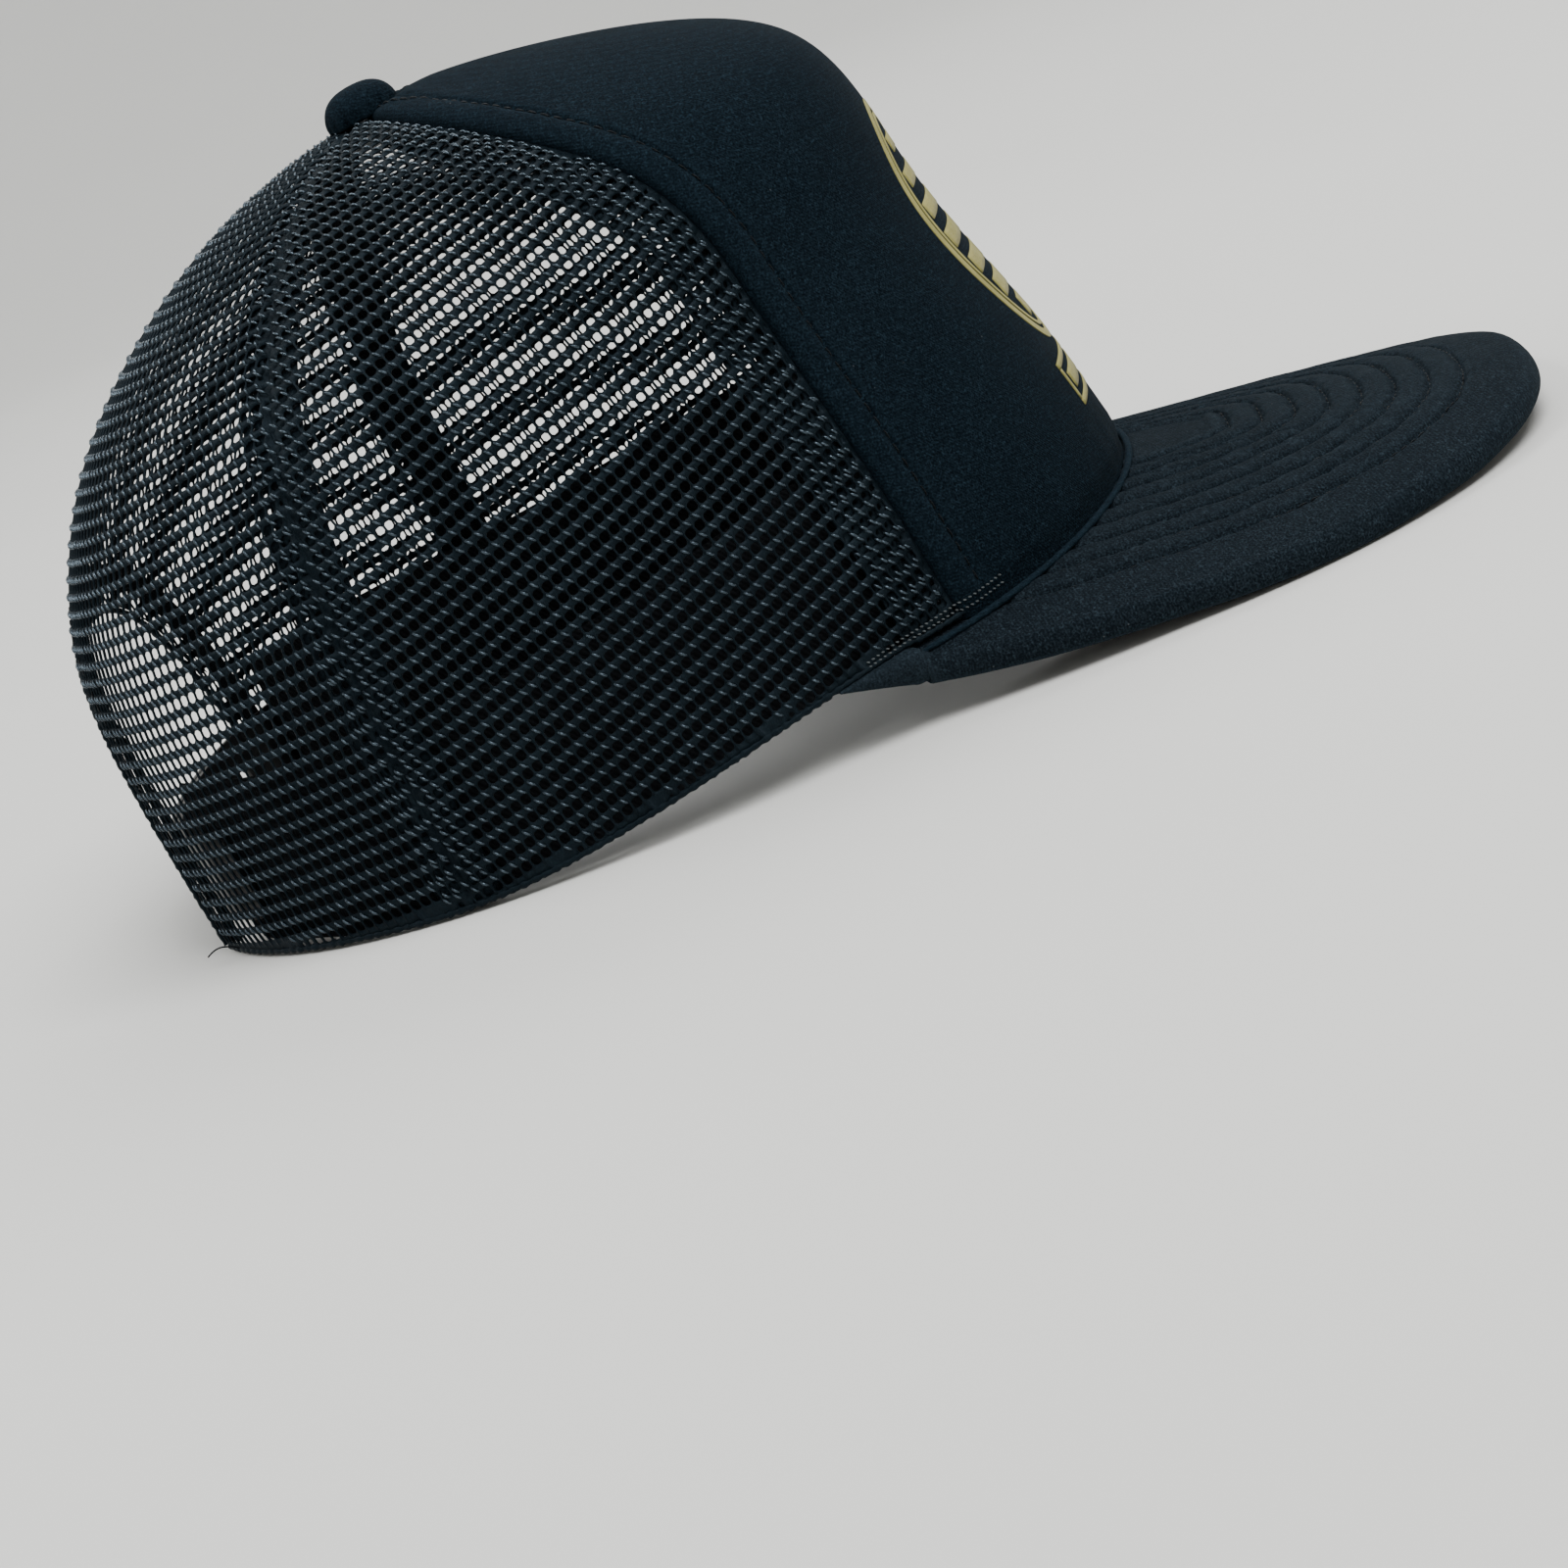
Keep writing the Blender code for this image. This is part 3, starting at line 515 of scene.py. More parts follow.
def flat_points(x, y):
    return np.stack([x, y, np.zeros_like(x)], -1)


def waves(points, length, seed):
    """Soft unevenness of cloth, -1 to 1: a few crossing waves of about one length."""
    draw = np.random.default_rng(seed)
    total = np.zeros(points.shape[:-1])
    for _ in range(7):
        direction = unit(draw.normal(size=3))
        stretch = draw.uniform(0.7, 1.5) * 2.0 * math.pi / length
        total += np.sin(points @ direction * stretch + draw.uniform(0.0, 6.3))
    return total / 7.0


# ---------------------------------------------------------------- materials

class Look:
    """A procedural material being put together. Its texture space is in millimetres."""

    def __init__(self, name, roughness=0.8, metallic=0.0, specular=0.5, tint=(1.0, 1.0, 1.0)):
        self.material = bpy.data.materials.new(name)
        self.material.use_nodes = True
        self.tree = self.material.node_tree
        self.shader = self.tree.nodes["Principled BSDF"]
        self.fill(self.shader, ("Roughness", roughness), ("Metallic", metallic),
                  ("Specular IOR Level", specular), ("Specular Tint", tint))
        place = self.node("TexCoord").outputs["Object"]
        self.space = self.stretch((1000.0, 1000.0, 1000.0), source=place)

    def link(self, source, node, entry):
        self.tree.links.new(source, node.inputs[entry])

    def node(self, kind, **values):
        """A shader node with some of its inputs set to plain values."""
        node = self.tree.nodes.new("ShaderNode" + kind)
        for entry, value in values.items():
            node.inputs[entry.replace("_", " ")].default_value = value
        return node

    def fill(self, node, *entries):
        """Set or link inputs given as (input, number, colour or output of another node)."""
        for entry, value in entries:
            if isinstance(value, (int, float)):
                node.inputs[entry].default_value = value
            elif isinstance(value, tuple):
                node.inputs[entry].default_value = (*value, 1.0)
            else:
                self.link(value, node, entry)

    def stretch(self, scale, turn=(0.0, 0.0, 0.0), source=None):
        node = self.node("Mapping", Scale=scale, Rotation=[math.radians(a) for a in turn])
        self.link(source or self.space, node, "Vector")
        return node.outputs[0]

    def noise(self, scale, detail=2.0, space=None):
        node = self.node("TexNoise", Scale=scale, Detail=detail)
        self.link(space or self.space, node, "Vector")
        return node.outputs["Fac"]

    def wave(self, period, turn, distortion=1.5):
        """Ribs of one period in millimetres."""
        node = self.node("TexWave", Scale=0.314 / period, Distortion=distortion, Detail=2.0,
                         Detail_Scale=1.2)
        self.link(self.stretch((1.0, 1.0, 1.0), turn), node, "Vector")
        return node.outputs["Fac"]

    def specks(self, size, share):
        """White where a small fleck lies: flecks of one size, on a share of the cells."""
        cells = self.node("TexVoronoi", Scale=1.0 / (size * 9.0))
        self.link(self.space, cells, "Vector")
        near = self.level(cells.outputs["Distance"], 0.075, 0.035)
        split = self.node("SeparateColor")
        self.link(cells.outputs["Color"], split, 0)
        chosen = self.level(split.outputs[0], 1.0 - share, 1.0 - share + 0.01)
        return self.math("MULTIPLY", near, chosen)

    def math(self, kind, a, b):
        node = self.node("Math")
        node.operation = kind
        self.fill(node, (0, a), (1, b))
        return node.outputs[0]

    def level(self, source, start, end, low=0.0, high=1.0):
        node = self.node("MapRange", From_Min=start, From_Max=end, To_Min=low, To_Max=high)
        self.link(source, node, "Value")
        return node.outputs[0]

    def mix(self, factor, a, b):
        node = self.node("Mix")
        node.data_type = "RGBA"
        self.fill(node, (0, factor), (6, a), (7, b))
        return node.outputs[2]

    def worn(self, start=0.505, end=0.56):
        """White on ridges that stand out, where rubbing lightens a surface."""
        return self.level(self.node("NewGeometry").outputs["Pointiness"], start, end)

    def bump(self, *heights):
        """heights holds (source, depth in millimetres)."""
        last = None
        for source, depth in heights:
            node = self.node("Bump", Strength=1.0, Distance=depth * MM)
            self.link(source, node, "Height")
            if last:
                self.link(last, node, "Normal")
            last = node.outputs[0]
        self.link(last, self.shader, "Normal")

    def colour(self, source):
        self.link(source, self.shader, "Base Color")

    def roughness(self, source, low, high):
        self.link(self.level(source, 0.3, 0.7, low, high), self.shader, "Roughness")

    def sheen(self, weight, tint, roughness=0.5):
        self.fill(self.shader, ("Sheen Weight", weight), ("Sheen Roughness", roughness),
                  ("Sheen Tint", tint))


NIGHT_TINT = (0.62, 0.82, 1.0)    # blue-black yarn reflects a little bluer than white


def shaded(colour, factor):
    return tuple(v * factor for v in colour)


def knit_look(name, dark, light, course_turn):
    """Smooth warp-knit polyester over foam: fine courses, melange fuzz, a little lint."""
    look = Look(name, roughness=0.88, specular=0.035, tint=NIGHT_TINT)
    clouds = look.noise(0.035, 3.0)
    flecks = look.noise(1.1, 4.0)
    grains = look.noise(2.6, 4.0)
    courses = look.wave(0.66, course_turn, 3.0)
    wales = look.wave(0.5, (35.0, 20.0, 50.0), 4.0)
    base = look.mix(look.level(clouds, 0.35, 0.65), dark, light)
    ribbed = look.mix(look.level(courses, 0.15, 0.9, 0.0, 0.55), base, shaded(light, 1.7))
    melange = look.mix(look.level(flecks, 0.46, 0.70, 0.0, 0.7), ribbed, shaded(light, 2.6))
    fuzz = look.mix(look.level(grains, 0.38, 0.66), shaded(dark, 0.4), melange)
    rubbed = look.mix(look.math("MULTIPLY", look.worn(), 0.3), fuzz, shaded(light, 2.6))
    lint = look.math("MULTIPLY", look.specks(0.32, 0.12), 0.16)
    look.colour(look.mix(lint, rubbed, (0.30, 0.32, 0.33)))
    look.roughness(grains, 0.8, 0.97)
    look.bump((courses, 0.03), (wales, 0.02), (grains, 0.13))
    look.sheen(0.008, (0.55, 0.75, 0.9))
    return look.material


def net_look(name, dark, light, roughness, specular, grain):
    """Warp-knit net of bright filament yarn."""
    look = Look(name, roughness=roughness, specular=specular, tint=NIGHT_TINT)
    strands = look.noise(5.0, 2.0, look.stretch((1.0, 1.0, 0.3)))
    clouds = look.noise(0.06, 2.0)
    shade = look.mix(look.level(strands, 0.3, 0.7), dark, light)
    look.colour(look.mix(look.level(clouds, 0.45, 0.75, 0.0, 0.35), shade, shaded(light, 1.6)))
    look.roughness(strands, roughness - 0.08, roughness + 0.12)
    look.bump((strands, grain))
    return look.material


def thread_look(name, colour, roughness=0.5):
    look = Look(name, roughness=roughness, specular=0.1)
    twist = look.wave(0.34, (20.0, 35.0, 45.0), 0.6)
    fuzz = look.noise(4.0)
    look.colour(look.mix(look.level(twist, 0.1, 0.9), shaded(colour, 0.55), colour))
    look.roughness(fuzz, roughness - 0.08, roughness + 0.15)
    look.bump((twist, 0.06), (fuzz, 0.03))
    return look.material


def twill_look(name, dark, light, rib, depth):
    """Woven cotton: a twill line crossed by a finer weft."""
    look = Look(name, roughness=0.9, specular=0.05)
    line = look.wave(rib, (0.0, 45.0, 40.0), 0.5)
    weft = look.wave(rib * 0.55, (70.0, 10.0, 0.0), 0.8)
    fuzz = look.noise(2.5, 4.0)
    base = look.mix(look.level(line, 0.2, 0.8), dark, light)
    look.colour(look.mix(look.math("MULTIPLY", look.level(fuzz, 0.4, 0.8), 0.5), base,
                         shaded(light, 2.0)))
    look.roughness(fuzz, 0.8, 0.98)
    look.bump((line, depth), (weft, depth * 0.6), (fuzz, depth * 0.6))
    look.sheen(0.015, (0.7, 0.75, 0.8))
    return look.material


def ink_look():
    """Screen-printed gold ink: slightly raised, dry and uneven, with pinholes."""
    look = Look("gold_print_ink", roughness=0.6, specular=0.25)
    grains = look.noise(2.2, 4.0)
    clouds = look.noise(0.12, 2.0)
    gold = look.mix(look.level(clouds, 0.3, 0.7), (0.205, 0.187, 0.048), (0.285, 0.26, 0.085))
    pits = look.level(grains, 0.66, 0.76, 0.0, 0.7)
    look.colour(look.mix(pits, gold, (0.04, 0.04, 0.03)))
    look.roughness(grains, 0.45, 0.7)
    look.bump((grains, 0.05), (look.wave(0.62, (0.0, 90.0, 12.0), 2.2), 0.03))
    return look.material


def plastic_look():
    """Satin moulded polyethylene with a fine grain, rubbed paler along its edges."""
    look = Look("strap_plastic_look", roughness=0.36, specular=0.3)
    grains = look.noise(1.8, 3.0)
    clouds = look.noise(0.09, 3.0)
    base = look.mix(look.level(clouds, 0.3, 0.7), (0.0045, 0.0048, 0.0055),
                    (0.0080, 0.0085, 0.0095))
    look.colour(look.mix(look.math("MULTIPLY", look.worn(0.52, 0.6), 0.4), base,
                         (0.035, 0.036, 0.038)))
    look.roughness(clouds, 0.3, 0.46)
    look.bump((grains, 0.02), (look.noise(0.25), 0.05))
    return look.material


def board_look():
    """Black moulded board: its edge shows a little under the sweatband."""
    look = Look("visor_board_look", roughness=0.5)
    clouds = look.noise(0.08, 3.0)
    look.colour(look.mix(look.level(clouds, 0.3, 0.7), (0.010, 0.011, 0.012),
                         (0.016, 0.017, 0.018)))
    look.roughness(look.noise(1.5, 3.0), 0.4, 0.6)
    look.bump((look.noise(1.2, 3.0), 0.03))
    return look.material


def metal_look(name, tone):
    """Stamped sheet steel: brushed in rings, with a few darker spots."""
    look = Look(name, roughness=0.35, metallic=1.0)
    brushed = look.noise(1.0, 4.0, look.stretch((0.4, 0.4, 9.0)))
    spots = look.noise(0.5, 3.0)
    look.colour(look.mix(look.level(spots, 0.4, 0.75), tone, shaded(tone, 0.55)))
    look.roughness(brushed, 0.25, 0.5)
    look.bump((brushed, 0.02))
    return look.material


KNIT = knit_look("front_knit", (0.0030, 0.0066, 0.0104), (0.0052, 0.0102, 0.0148),
                 (0.0, 90.0, 12.0))
# The front's knit cloth painted lighter: painted light for the visor's upward face, also used
# under the visor and at its ends.
VISOR_KNIT_PAINTED_LIGHT = knit_look("visor_knit_painted_light", (0.0064, 0.0102, 0.0140), (0.0100, 0.0150, 0.0194),
                       (0.0, 0.0, 78.0))
NET = net_look("net_ground", (0.0022, 0.0040, 0.0056), (0.0058, 0.0102, 0.0136), 0.45, 0.08,
               0.12)
FLOAT = net_look("net_float", (0.0050, 0.0084, 0.0112), (0.0110, 0.0164, 0.0204), 0.27, 0.9,
                 0.05)
THREAD = thread_look("black_thread", (0.0040, 0.0060, 0.0080))
# Dark grey thread painted paler: partly the thread's own grey, partly a painted glint.
GREY_THREAD_PAINTED_GLINT = thread_look("grey_thread_painted_glint", (0.11, 0.125, 0.13), 0.45)
TAPE = twill_look("seam_tape_weave", (0.0026, 0.0034, 0.0044), (0.0056, 0.0068, 0.0082),
                  0.55, 0.06)
LINING = twill_look("lining_weave", (0.0045, 0.0050, 0.0060), (0.0090, 0.0100, 0.0115),
                    0.4, 0.04)
BAND = twill_look("sweatband_weave", (0.0035, 0.0040, 0.0050), (0.0085, 0.0095, 0.0110),
                  0.9, 0.12)
INK = ink_look()
PLASTIC = plastic_look()
BOARD = board_look()
SHELL_STEEL = metal_look("button_shell_steel", (0.52, 0.52, 0.53))
RIVET_STEEL = metal_look("rivet_steel", (0.42, 0.42, 0.43))


# ---------------------------------------------------------------- front panel

EDGE_STATIONS = np.array([0.0, 0.12, 0.35, 0.7, 1.1, 1.6, 2.2, 3.0, 3.8, 4.5, 5.0, 5.4, 5.7,
                          6.0, 6.3, 6.6, 7.0, 7.6, 8.4, 9.4, 10.6, 12.0])
LOW_ROWS = np.array([0.0, 0.25, 0.6, 1.1, 1.8, 2.6, 3.5, 4.6])
NARROW_REACH = 30.0            # half width of the pad below which its stations draw together
TOPSTITCH = 6.0                # distance of the topstitch line from the front seam
TOPSTITCH_PITCH = 3.0
TOPSTITCH_DIP = 0.62           # depth and width of the furrow it pulls into the pad
PUCKER_HEIGHT = 0.11
PAD_ROUND = 1.7                # radius of the pad's edge
PAD_EDGE_SHARE = 0.35          # share of the pad's height left at the front seam
PAD_EDGE_EASE = 6.0            # width over which the pad swells from its seam
PAD_TOP_SHARE = 0.15           # the same at the button
PAD_TOP_EASE = 14.0
RIM_PULL = 0.95                # how far the visor's seam draws the pad in
RIM_TUCK = 1.0                 # and down
RIM_EASE = 3.0
RIPPLE_HEIGHT, RIPPLE_LENGTH = 0.12, 9.0
PAD_WAVE_HEIGHT, PAD_WAVE_LENGTH = 0.35, 55.0


def rounded_drop(distance, radius):
    """How far a rounded edge falls away at a distance from its rim."""
    left = radius - np.clip(distance, 0.0, radius)
    return radius - np.sqrt(np.maximum(radius ** 2 - left ** 2, 0.0))


def seam_reach(rise):
    """Distance from the middle of the forehead to the front seam, round the crown."""
    return front_chart.locate(front_seam(rise), rise)[..., 0]


def pad_height(x, rise):
    """Height of the padded front over the net's surface, at chart coordinate x."""
    s = front_chart.height_at(rise)
    top = front_chart.height_at(PANEL_TOP) - s
    edge = seam_reach(rise) - np.abs(x)
    height = (COVER_PROUD * smooth(PAD_EDGE_SHARE + edge / PAD_EDGE_EASE)
              * smooth(PAD_TOP_SHARE + top / PAD_TOP_EASE))
    height = height - rounded_drop(edge, PAD_ROUND)
    fade = smooth(s / 6.0) * smooth(top / 8.0)
    height -= TOPSTITCH_DIP * bell(edge - TOPSTITCH, TOPSTITCH_DIP) * fade
    pucker = np.cos(2.0 * math.pi * s / TOPSTITCH_PITCH)
    pucker = pucker + 0.6 * np.sin(2.0 * math.pi * s / 11.3 + 1.0)
    height += PUCKER_HEIGHT * pucker * bell(edge - TOPSTITCH + 0.8, 2.2) * fade
    height -= RIM_PULL * (1.0 - smooth(s / 4.5))
    ripple = np.cos(2.0 * math.pi * x / RIPPLE_LENGTH + np.sin(x / 13.0) * 2.0)
    height += RIPPLE_HEIGHT * ripple * np.exp(-s / 7.0) * smooth(s / RIM_EASE)
    place = flat_points(x, s)
    wave = PAD_WAVE_HEIGHT * waves(place, PAD_WAVE_LENGTH, 5)
    return height + wave * smooth(edge / 12.0) * smooth(top / 20.0)


def pad_point(x, rise, extra=0.0):
    """Points of the pad's face at chart coordinates, and their turns."""
    turn = front_chart.turn_at(x, rise)
    point = layer(turn, rise, pad_height(x, rise) + extra)
    point[..., 2] -= RIM_TUCK * (1.0 - smooth(front_chart.height_at(rise) / RIM_EASE))
    return point, turn


def front_grid():
    """(x, rise) of the pad's stations: close together along its seams."""
    top = float(front_chart.height_at(PANEL_TOP))
    s = np.concatenate([LOW_ROWS, np.linspace(6.0, top - 3.0, 104),
                        top - np.array([2.0, 1.0, 0.0])])
    rise = front_chart.rise_at(s)
    rows = []
    for reach in seam_reach(rise):
        near = EDGE_STATIONS * min(1.0, reach / NARROW_REACH)
        inner = reach - near[-1]
        middle = np.linspace(-inner, inner, 85)[1:-1]
        rows.append(np.concatenate([near - reach, middle, (reach - near)[::-1]]))
    x = np.array(rows)
    return x, np.repeat(rise[:, None], x.shape[1], 1)


def build_front():
    """The padded front in one piece, and the lining inside it."""
    x, rise = front_grid()
    outer, turn = pad_point(x, rise)
    pad = sheet(outer, layer(turn, rise, np.full_like(x, PAD_BOTTOM)))
    build("front_pad", Shape().add(*pad), KNIT, "knit_cloth", "front_panel_cover",
          "front_panel_foam")
    soft = 0.12 * waves(outer, 26.0, 8)
    lining = [layer(turn, rise, depth + soft)[::3, ::2] for depth in (LINING_TOP, LINING_BOTTOM)]
    build("front_lining", Shape().add(*sheet(*lining)), LINING, "lining_cloth",
          "front_panel_lining")


def build_topstitch():
    """The line of stitches that holds the pad's edge down along each front seam."""
    shape = Shape()
    s = np.linspace(4.0, float(front_chart.height_at(0.93)), 240)
    rise = front_chart.rise_at(s)
    for side in (-1.0, 1.0):
        reach = seam_reach(rise)
        x = side * (reach - TOPSTITCH * np.minimum(1.0, reach / NARROW_REACH))
        line, turn = pad_point(x, rise, 0.05)
        stitches(shape, line, crown_normal(turn, rise), pitch=TOPSTITCH_PITCH, share=0.74,
                 radius=0.2)
    build("front_topstitch", shape, THREAD, "knit_cloth")


# ---------------------------------------------------------------- front print

PRINT_CENTRE = 53.5            # height of the print's ring over the visor seam, up the cloth
PRINT_HALF_HEIGHT = 29.0
PRINT_SLIMMING = 8.5           # how much narrower than tall the ring's half size is
PRINT_STRIPES = 7
INK_FACES = (0.16, -0.15)      # heights of the ink's two faces over the pad
BAR_LOW, BAR_HIGH, BAR_HALF, BAR_LINE = 13.0, 22.4, 17.0, 1.3


def ink_film(x, s, wrap=False):
    """A raised film of ink on the pad over a grid of chart coordinates."""
    rise = front_chart.rise_at(s)
    return sheet(*(pad_point(x, rise, extra)[0] for extra in INK_FACES), wrap=wrap)


def ink_ring(shape, inner, outer, columns=120):
    """An oval ring between two half heights."""
    angles = np.arange(columns) * 2.0 * math.pi / columns
    radii = np.array([inner, inner + 0.12, (inner + outer) / 2, outer - 0.12, outer])[:, None]
    x = (radii - PRINT_SLIMMING) * np.cos(angles)[None]
    s = PRINT_CENTRE + radii * np.sin(angles)[None]
    shape.add(*ink_film(x, s, wrap=True))


def ink_bar(shape, left, right, low, high):
    x, s = np.meshgrid(np.linspace(left, right, max(int((right - left) / 1.5), 2)),
                       np.linspace(low, high, max(int((high - low) / 0.8), 3)))
    shape.add(*ink_film(x, s))


def build_print():
    """A plain gold graphic: two oval rings round a striped oval, over an outlined bar."""
    shape = Shape()
    ink_ring(shape, PRINT_HALF_HEIGHT - 2.0, PRINT_HALF_HEIGHT)
    ink_ring(shape, PRINT_HALF_HEIGHT - 3.9, PRINT_HALF_HEIGHT - 3.0)
    disc = PRINT_HALF_HEIGHT - 5.0
    for k in range(PRINT_STRIPES):
        middle = disc * (2.0 * (k + 0.5) / PRINT_STRIPES - 1.0)
        low, high = middle - 2.3, middle + 2.3 - 0.24 * k
        share = math.sqrt(1.0 - (max(abs(low), abs(high)) / disc) ** 2)
        reach = share * (disc - PRINT_SLIMMING)
        ink_bar(shape, -reach, reach, PRINT_CENTRE + low, PRINT_CENTRE + high)
    ink_bar(shape, -BAR_HALF, BAR_HALF, BAR_LOW, BAR_LOW + BAR_LINE)
    ink_bar(shape, -BAR_HALF, BAR_HALF, BAR_HIGH - BAR_LINE, BAR_HIGH)
    for left, right in ((-BAR_HALF, BAR_LINE - BAR_HALF), (BAR_HALF - BAR_LINE, BAR_HALF)):
        ink_bar(shape, left, right, BAR_LOW + BAR_LINE + 0.02, BAR_HIGH - BAR_LINE - 0.02)
    ink_bar(shape, 3.4 - BAR_HALF, BAR_HALF - 3.4, BAR_LOW + 3.0, BAR_HIGH - 3.0)
    build("front_print", shape, INK, "knit_cloth")


# ---------------------------------------------------------------- net

HOLE_POINTS = np.array([(-0.48, -0.96), (0.48, -0.96), (0.9, -0.52), (0.9, 0.52), (0.48, 0.96),
                        (-0.48, 0.96), (-0.9, 0.52), (-0.9, -0.52)])
CELL_POINTS = np.array([(-1.1, -1.65), (0.0, -1.65), (1.1, -1.65), (1.1, -0.6), (1.1, 0.6),
                        (1.1, 1.65), (0.0, 1.65), (-1.1, 1.65), (-1.1, 0.6), (-1.1, -0.6)])
CELL_FACES = [(0, 1, 11, 10), (1, 2, 11), (2, 12, 11), (2, 3, 12), (3, 4, 13, 12), (4, 5, 13),
              (5, 14, 13), (5, 6, 14), (6, 15, 14), (6, 7, 15), (7, 16, 15), (7, 8, 16),
              (8, 9, 17, 16), (9, 0, 17), (0, 10, 17)]
BAND_HALF = 0.3                # half the net's thickness along its bands and strands
HOLE_HALF = 0.13
YARN_START = np.array([-1.02, 0.85])
YARN_END = np.array([0.05, 2.42])
YARN_STATIONS = np.array([0.0, 0.22, 0.5, 0.78, 1.0])
YARN_LIFT = np.array([0.02, 0.34, 0.46, 0.34, 0.02])
YARN_RADIUS = np.array([0.15, 0.24, 0.27, 0.24, 0.15])
NET_MIDDLE = -0.62             # height of the net's middle over the crown's surface
LOWER_LAYER = -1.28            # the same for the second layer behind the seams
SEAM_TUCK, SEAM_BULGE = 0.75, 0.22
NET_WAVE = 0.3
RIM_LINE = 0.006               # rise at which the net turns into the folded rim
NET_TOP = 0.955
FOLD_RADIUS = 0.62             # of the folded rim
BINDING_RADIUS = 0.66          # of the rear opening's bound edge


def inside(points, polygon):
    """Which points lie in a polygon."""
    x, y = points[:, 0], points[:, 1]
    odd = np.zeros(len(points), bool)
    for (ax, ay), (bx, by) in zip(polygon, np.roll(polygon, -1, 0)):
        if ay == by:
            continue
        crosses = (ay > y) != (by > y)
        odd ^= crosses & (x < (bx - ax) * (y - ay) / (by - ay) + ax)
    return odd


def dense(polygon, step=0.35):
    """The outline of a polygon as closely spaced points."""
    pieces = []
    for a, b in zip(polygon, np.roll(polygon, -1, 0)):
        count = max(int(np.linalg.norm(b - a) / step), 1)
        pieces.append(a + (b - a) * (np.arange(count) / count)[:, None])
    return np.concatenate(pieces)


def nearest(points, samples):
    """Number of the sample nearest to each point, and its distance, a batch at a time."""
    best, distance = np.empty(len(points), int), np.empty(len(points))
    for start in range(0, len(points), 2000):
        batch = slice(start, start + 2000)
        gaps = np.linalg.norm(points[batch, None] - samples[None], axis=2)
        best[batch], distance[batch] = gaps.argmin(1), gaps.min(1)
    return best, distance


class Lattice:
    """Rows of holes, each row half a pitch out of step with the next."""

    def __init__(self, tilt, shift=(0.0, 0.0)):
        c, s = math.cos(tilt), math.sin(tilt)
        self.frame = np.array([[c, s], [-s, c]])
        self.shift = np.array(shift)

    def to_chart(self, pq):
        wander = np.stack([0.3 * np.sin(pq[:, 1] / 19.0 + 0.8) + 0.12 * np.sin(pq[:, 1] / 3.1),
                           0.3 * np.sin(pq[:, 0] / 23.0) + 0.1 * np.sin(pq[:, 0] / 7.0)], -1)
        return (pq + wander) @ self.frame + self.shift

    def centres(self, polygon):
        span = np.abs(polygon - self.shift).max() * 1.5
        rows = int(span / NET_ROW) + 1
        columns = int(span / NET_PITCH) + 1
        j, i = np.mgrid[-rows:rows + 1, -columns:columns + 1]
        pq = np.stack([(i + 0.5 * (j % 2)) * NET_PITCH, j * NET_ROW], -1).reshape(-1, 2)
        return pq[inside(self.to_chart(pq), polygon)]


def net_sheet(shape, chart, polygon, lattice, offset, open_share=1.0):
    """Knit a net over a region. offset gives its height from (turn, rise, edge distance)."""
    centres = lattice.centres(polygon)
    outline = dense(polygon)
    _, from_edge = nearest(lattice.to_chart(centres), outline)
    pierced = from_edge > 0.5
    count = len(centres)
    size = np.clip((from_edge - 0.1) / 1.1, 0.3, 1.0)[:, None, None] * open_share
    local = np.concatenate([np.broadcast_to(CELL_POINTS, (count, 10, 2)), HOLE_POINTS * size], 1)
    points = (centres[:, None] + local).reshape(-1, 2)
    keys = np.round(points * 100.0).astype(int)
    _, first, merged = np.unique(keys, axis=0, return_index=True, return_inverse=True)
    merged = merged.reshape(count, 18)
    flat = lattice.to_chart(points[first])
    half = np.where(np.isin(first % 18, range(10)), BAND_HALF, HOLE_HALF)
    faces, loops = [], []
    for k in range(count):
        names = merged[k]
        faces += [tuple(names[v] for v in face) for face in CELL_FACES]
        ring = [names[v] for v in range(10, 18)]
        if pierced[k]:
            loops.append(ring)
        else:
            faces.append(tuple(ring))
    used = dict.fromkeys(edge for face in faces for edge in zip(face, face[1:] + face[:1]))
    hole_edges = {edge for ring in loops for edge in zip(ring, ring[1:] + ring[:1])}
    rim_edges = [(a, b) for a, b in used if (b, a) not in used and (a, b) not in hole_edges
                 and (b, a) not in hole_edges]
    rim = np.array(sorted({v for edge in rim_edges for v in edge}))
    flat[rim] = outline[nearest(flat[rim], outline)[0]]
    half[rim] = 0.2
    turn, rise = chart.place(flat[:, 0], flat[:, 1])
    _, edge = nearest(flat, outline[::2])
    middle = offset(turn, rise, edge)
    size = len(flat)
    body = np.concatenate([layer(turn, rise, middle + half), layer(turn, rise, middle - half)])
    solid = list(faces) + [tuple(v + size for v in face[::-1]) for face in faces]
    for ring in loops:
        solid += [(a, b, b + size, a + size) for a, b in zip(ring, ring[1:] + ring[:1])]
    solid += [(b, a, a + size, b + size) for a, b in rim_edges]
    shape.add(body, solid)
    shape.second_from = len(shape.faces)
    return centres[from_edge > 0.4]


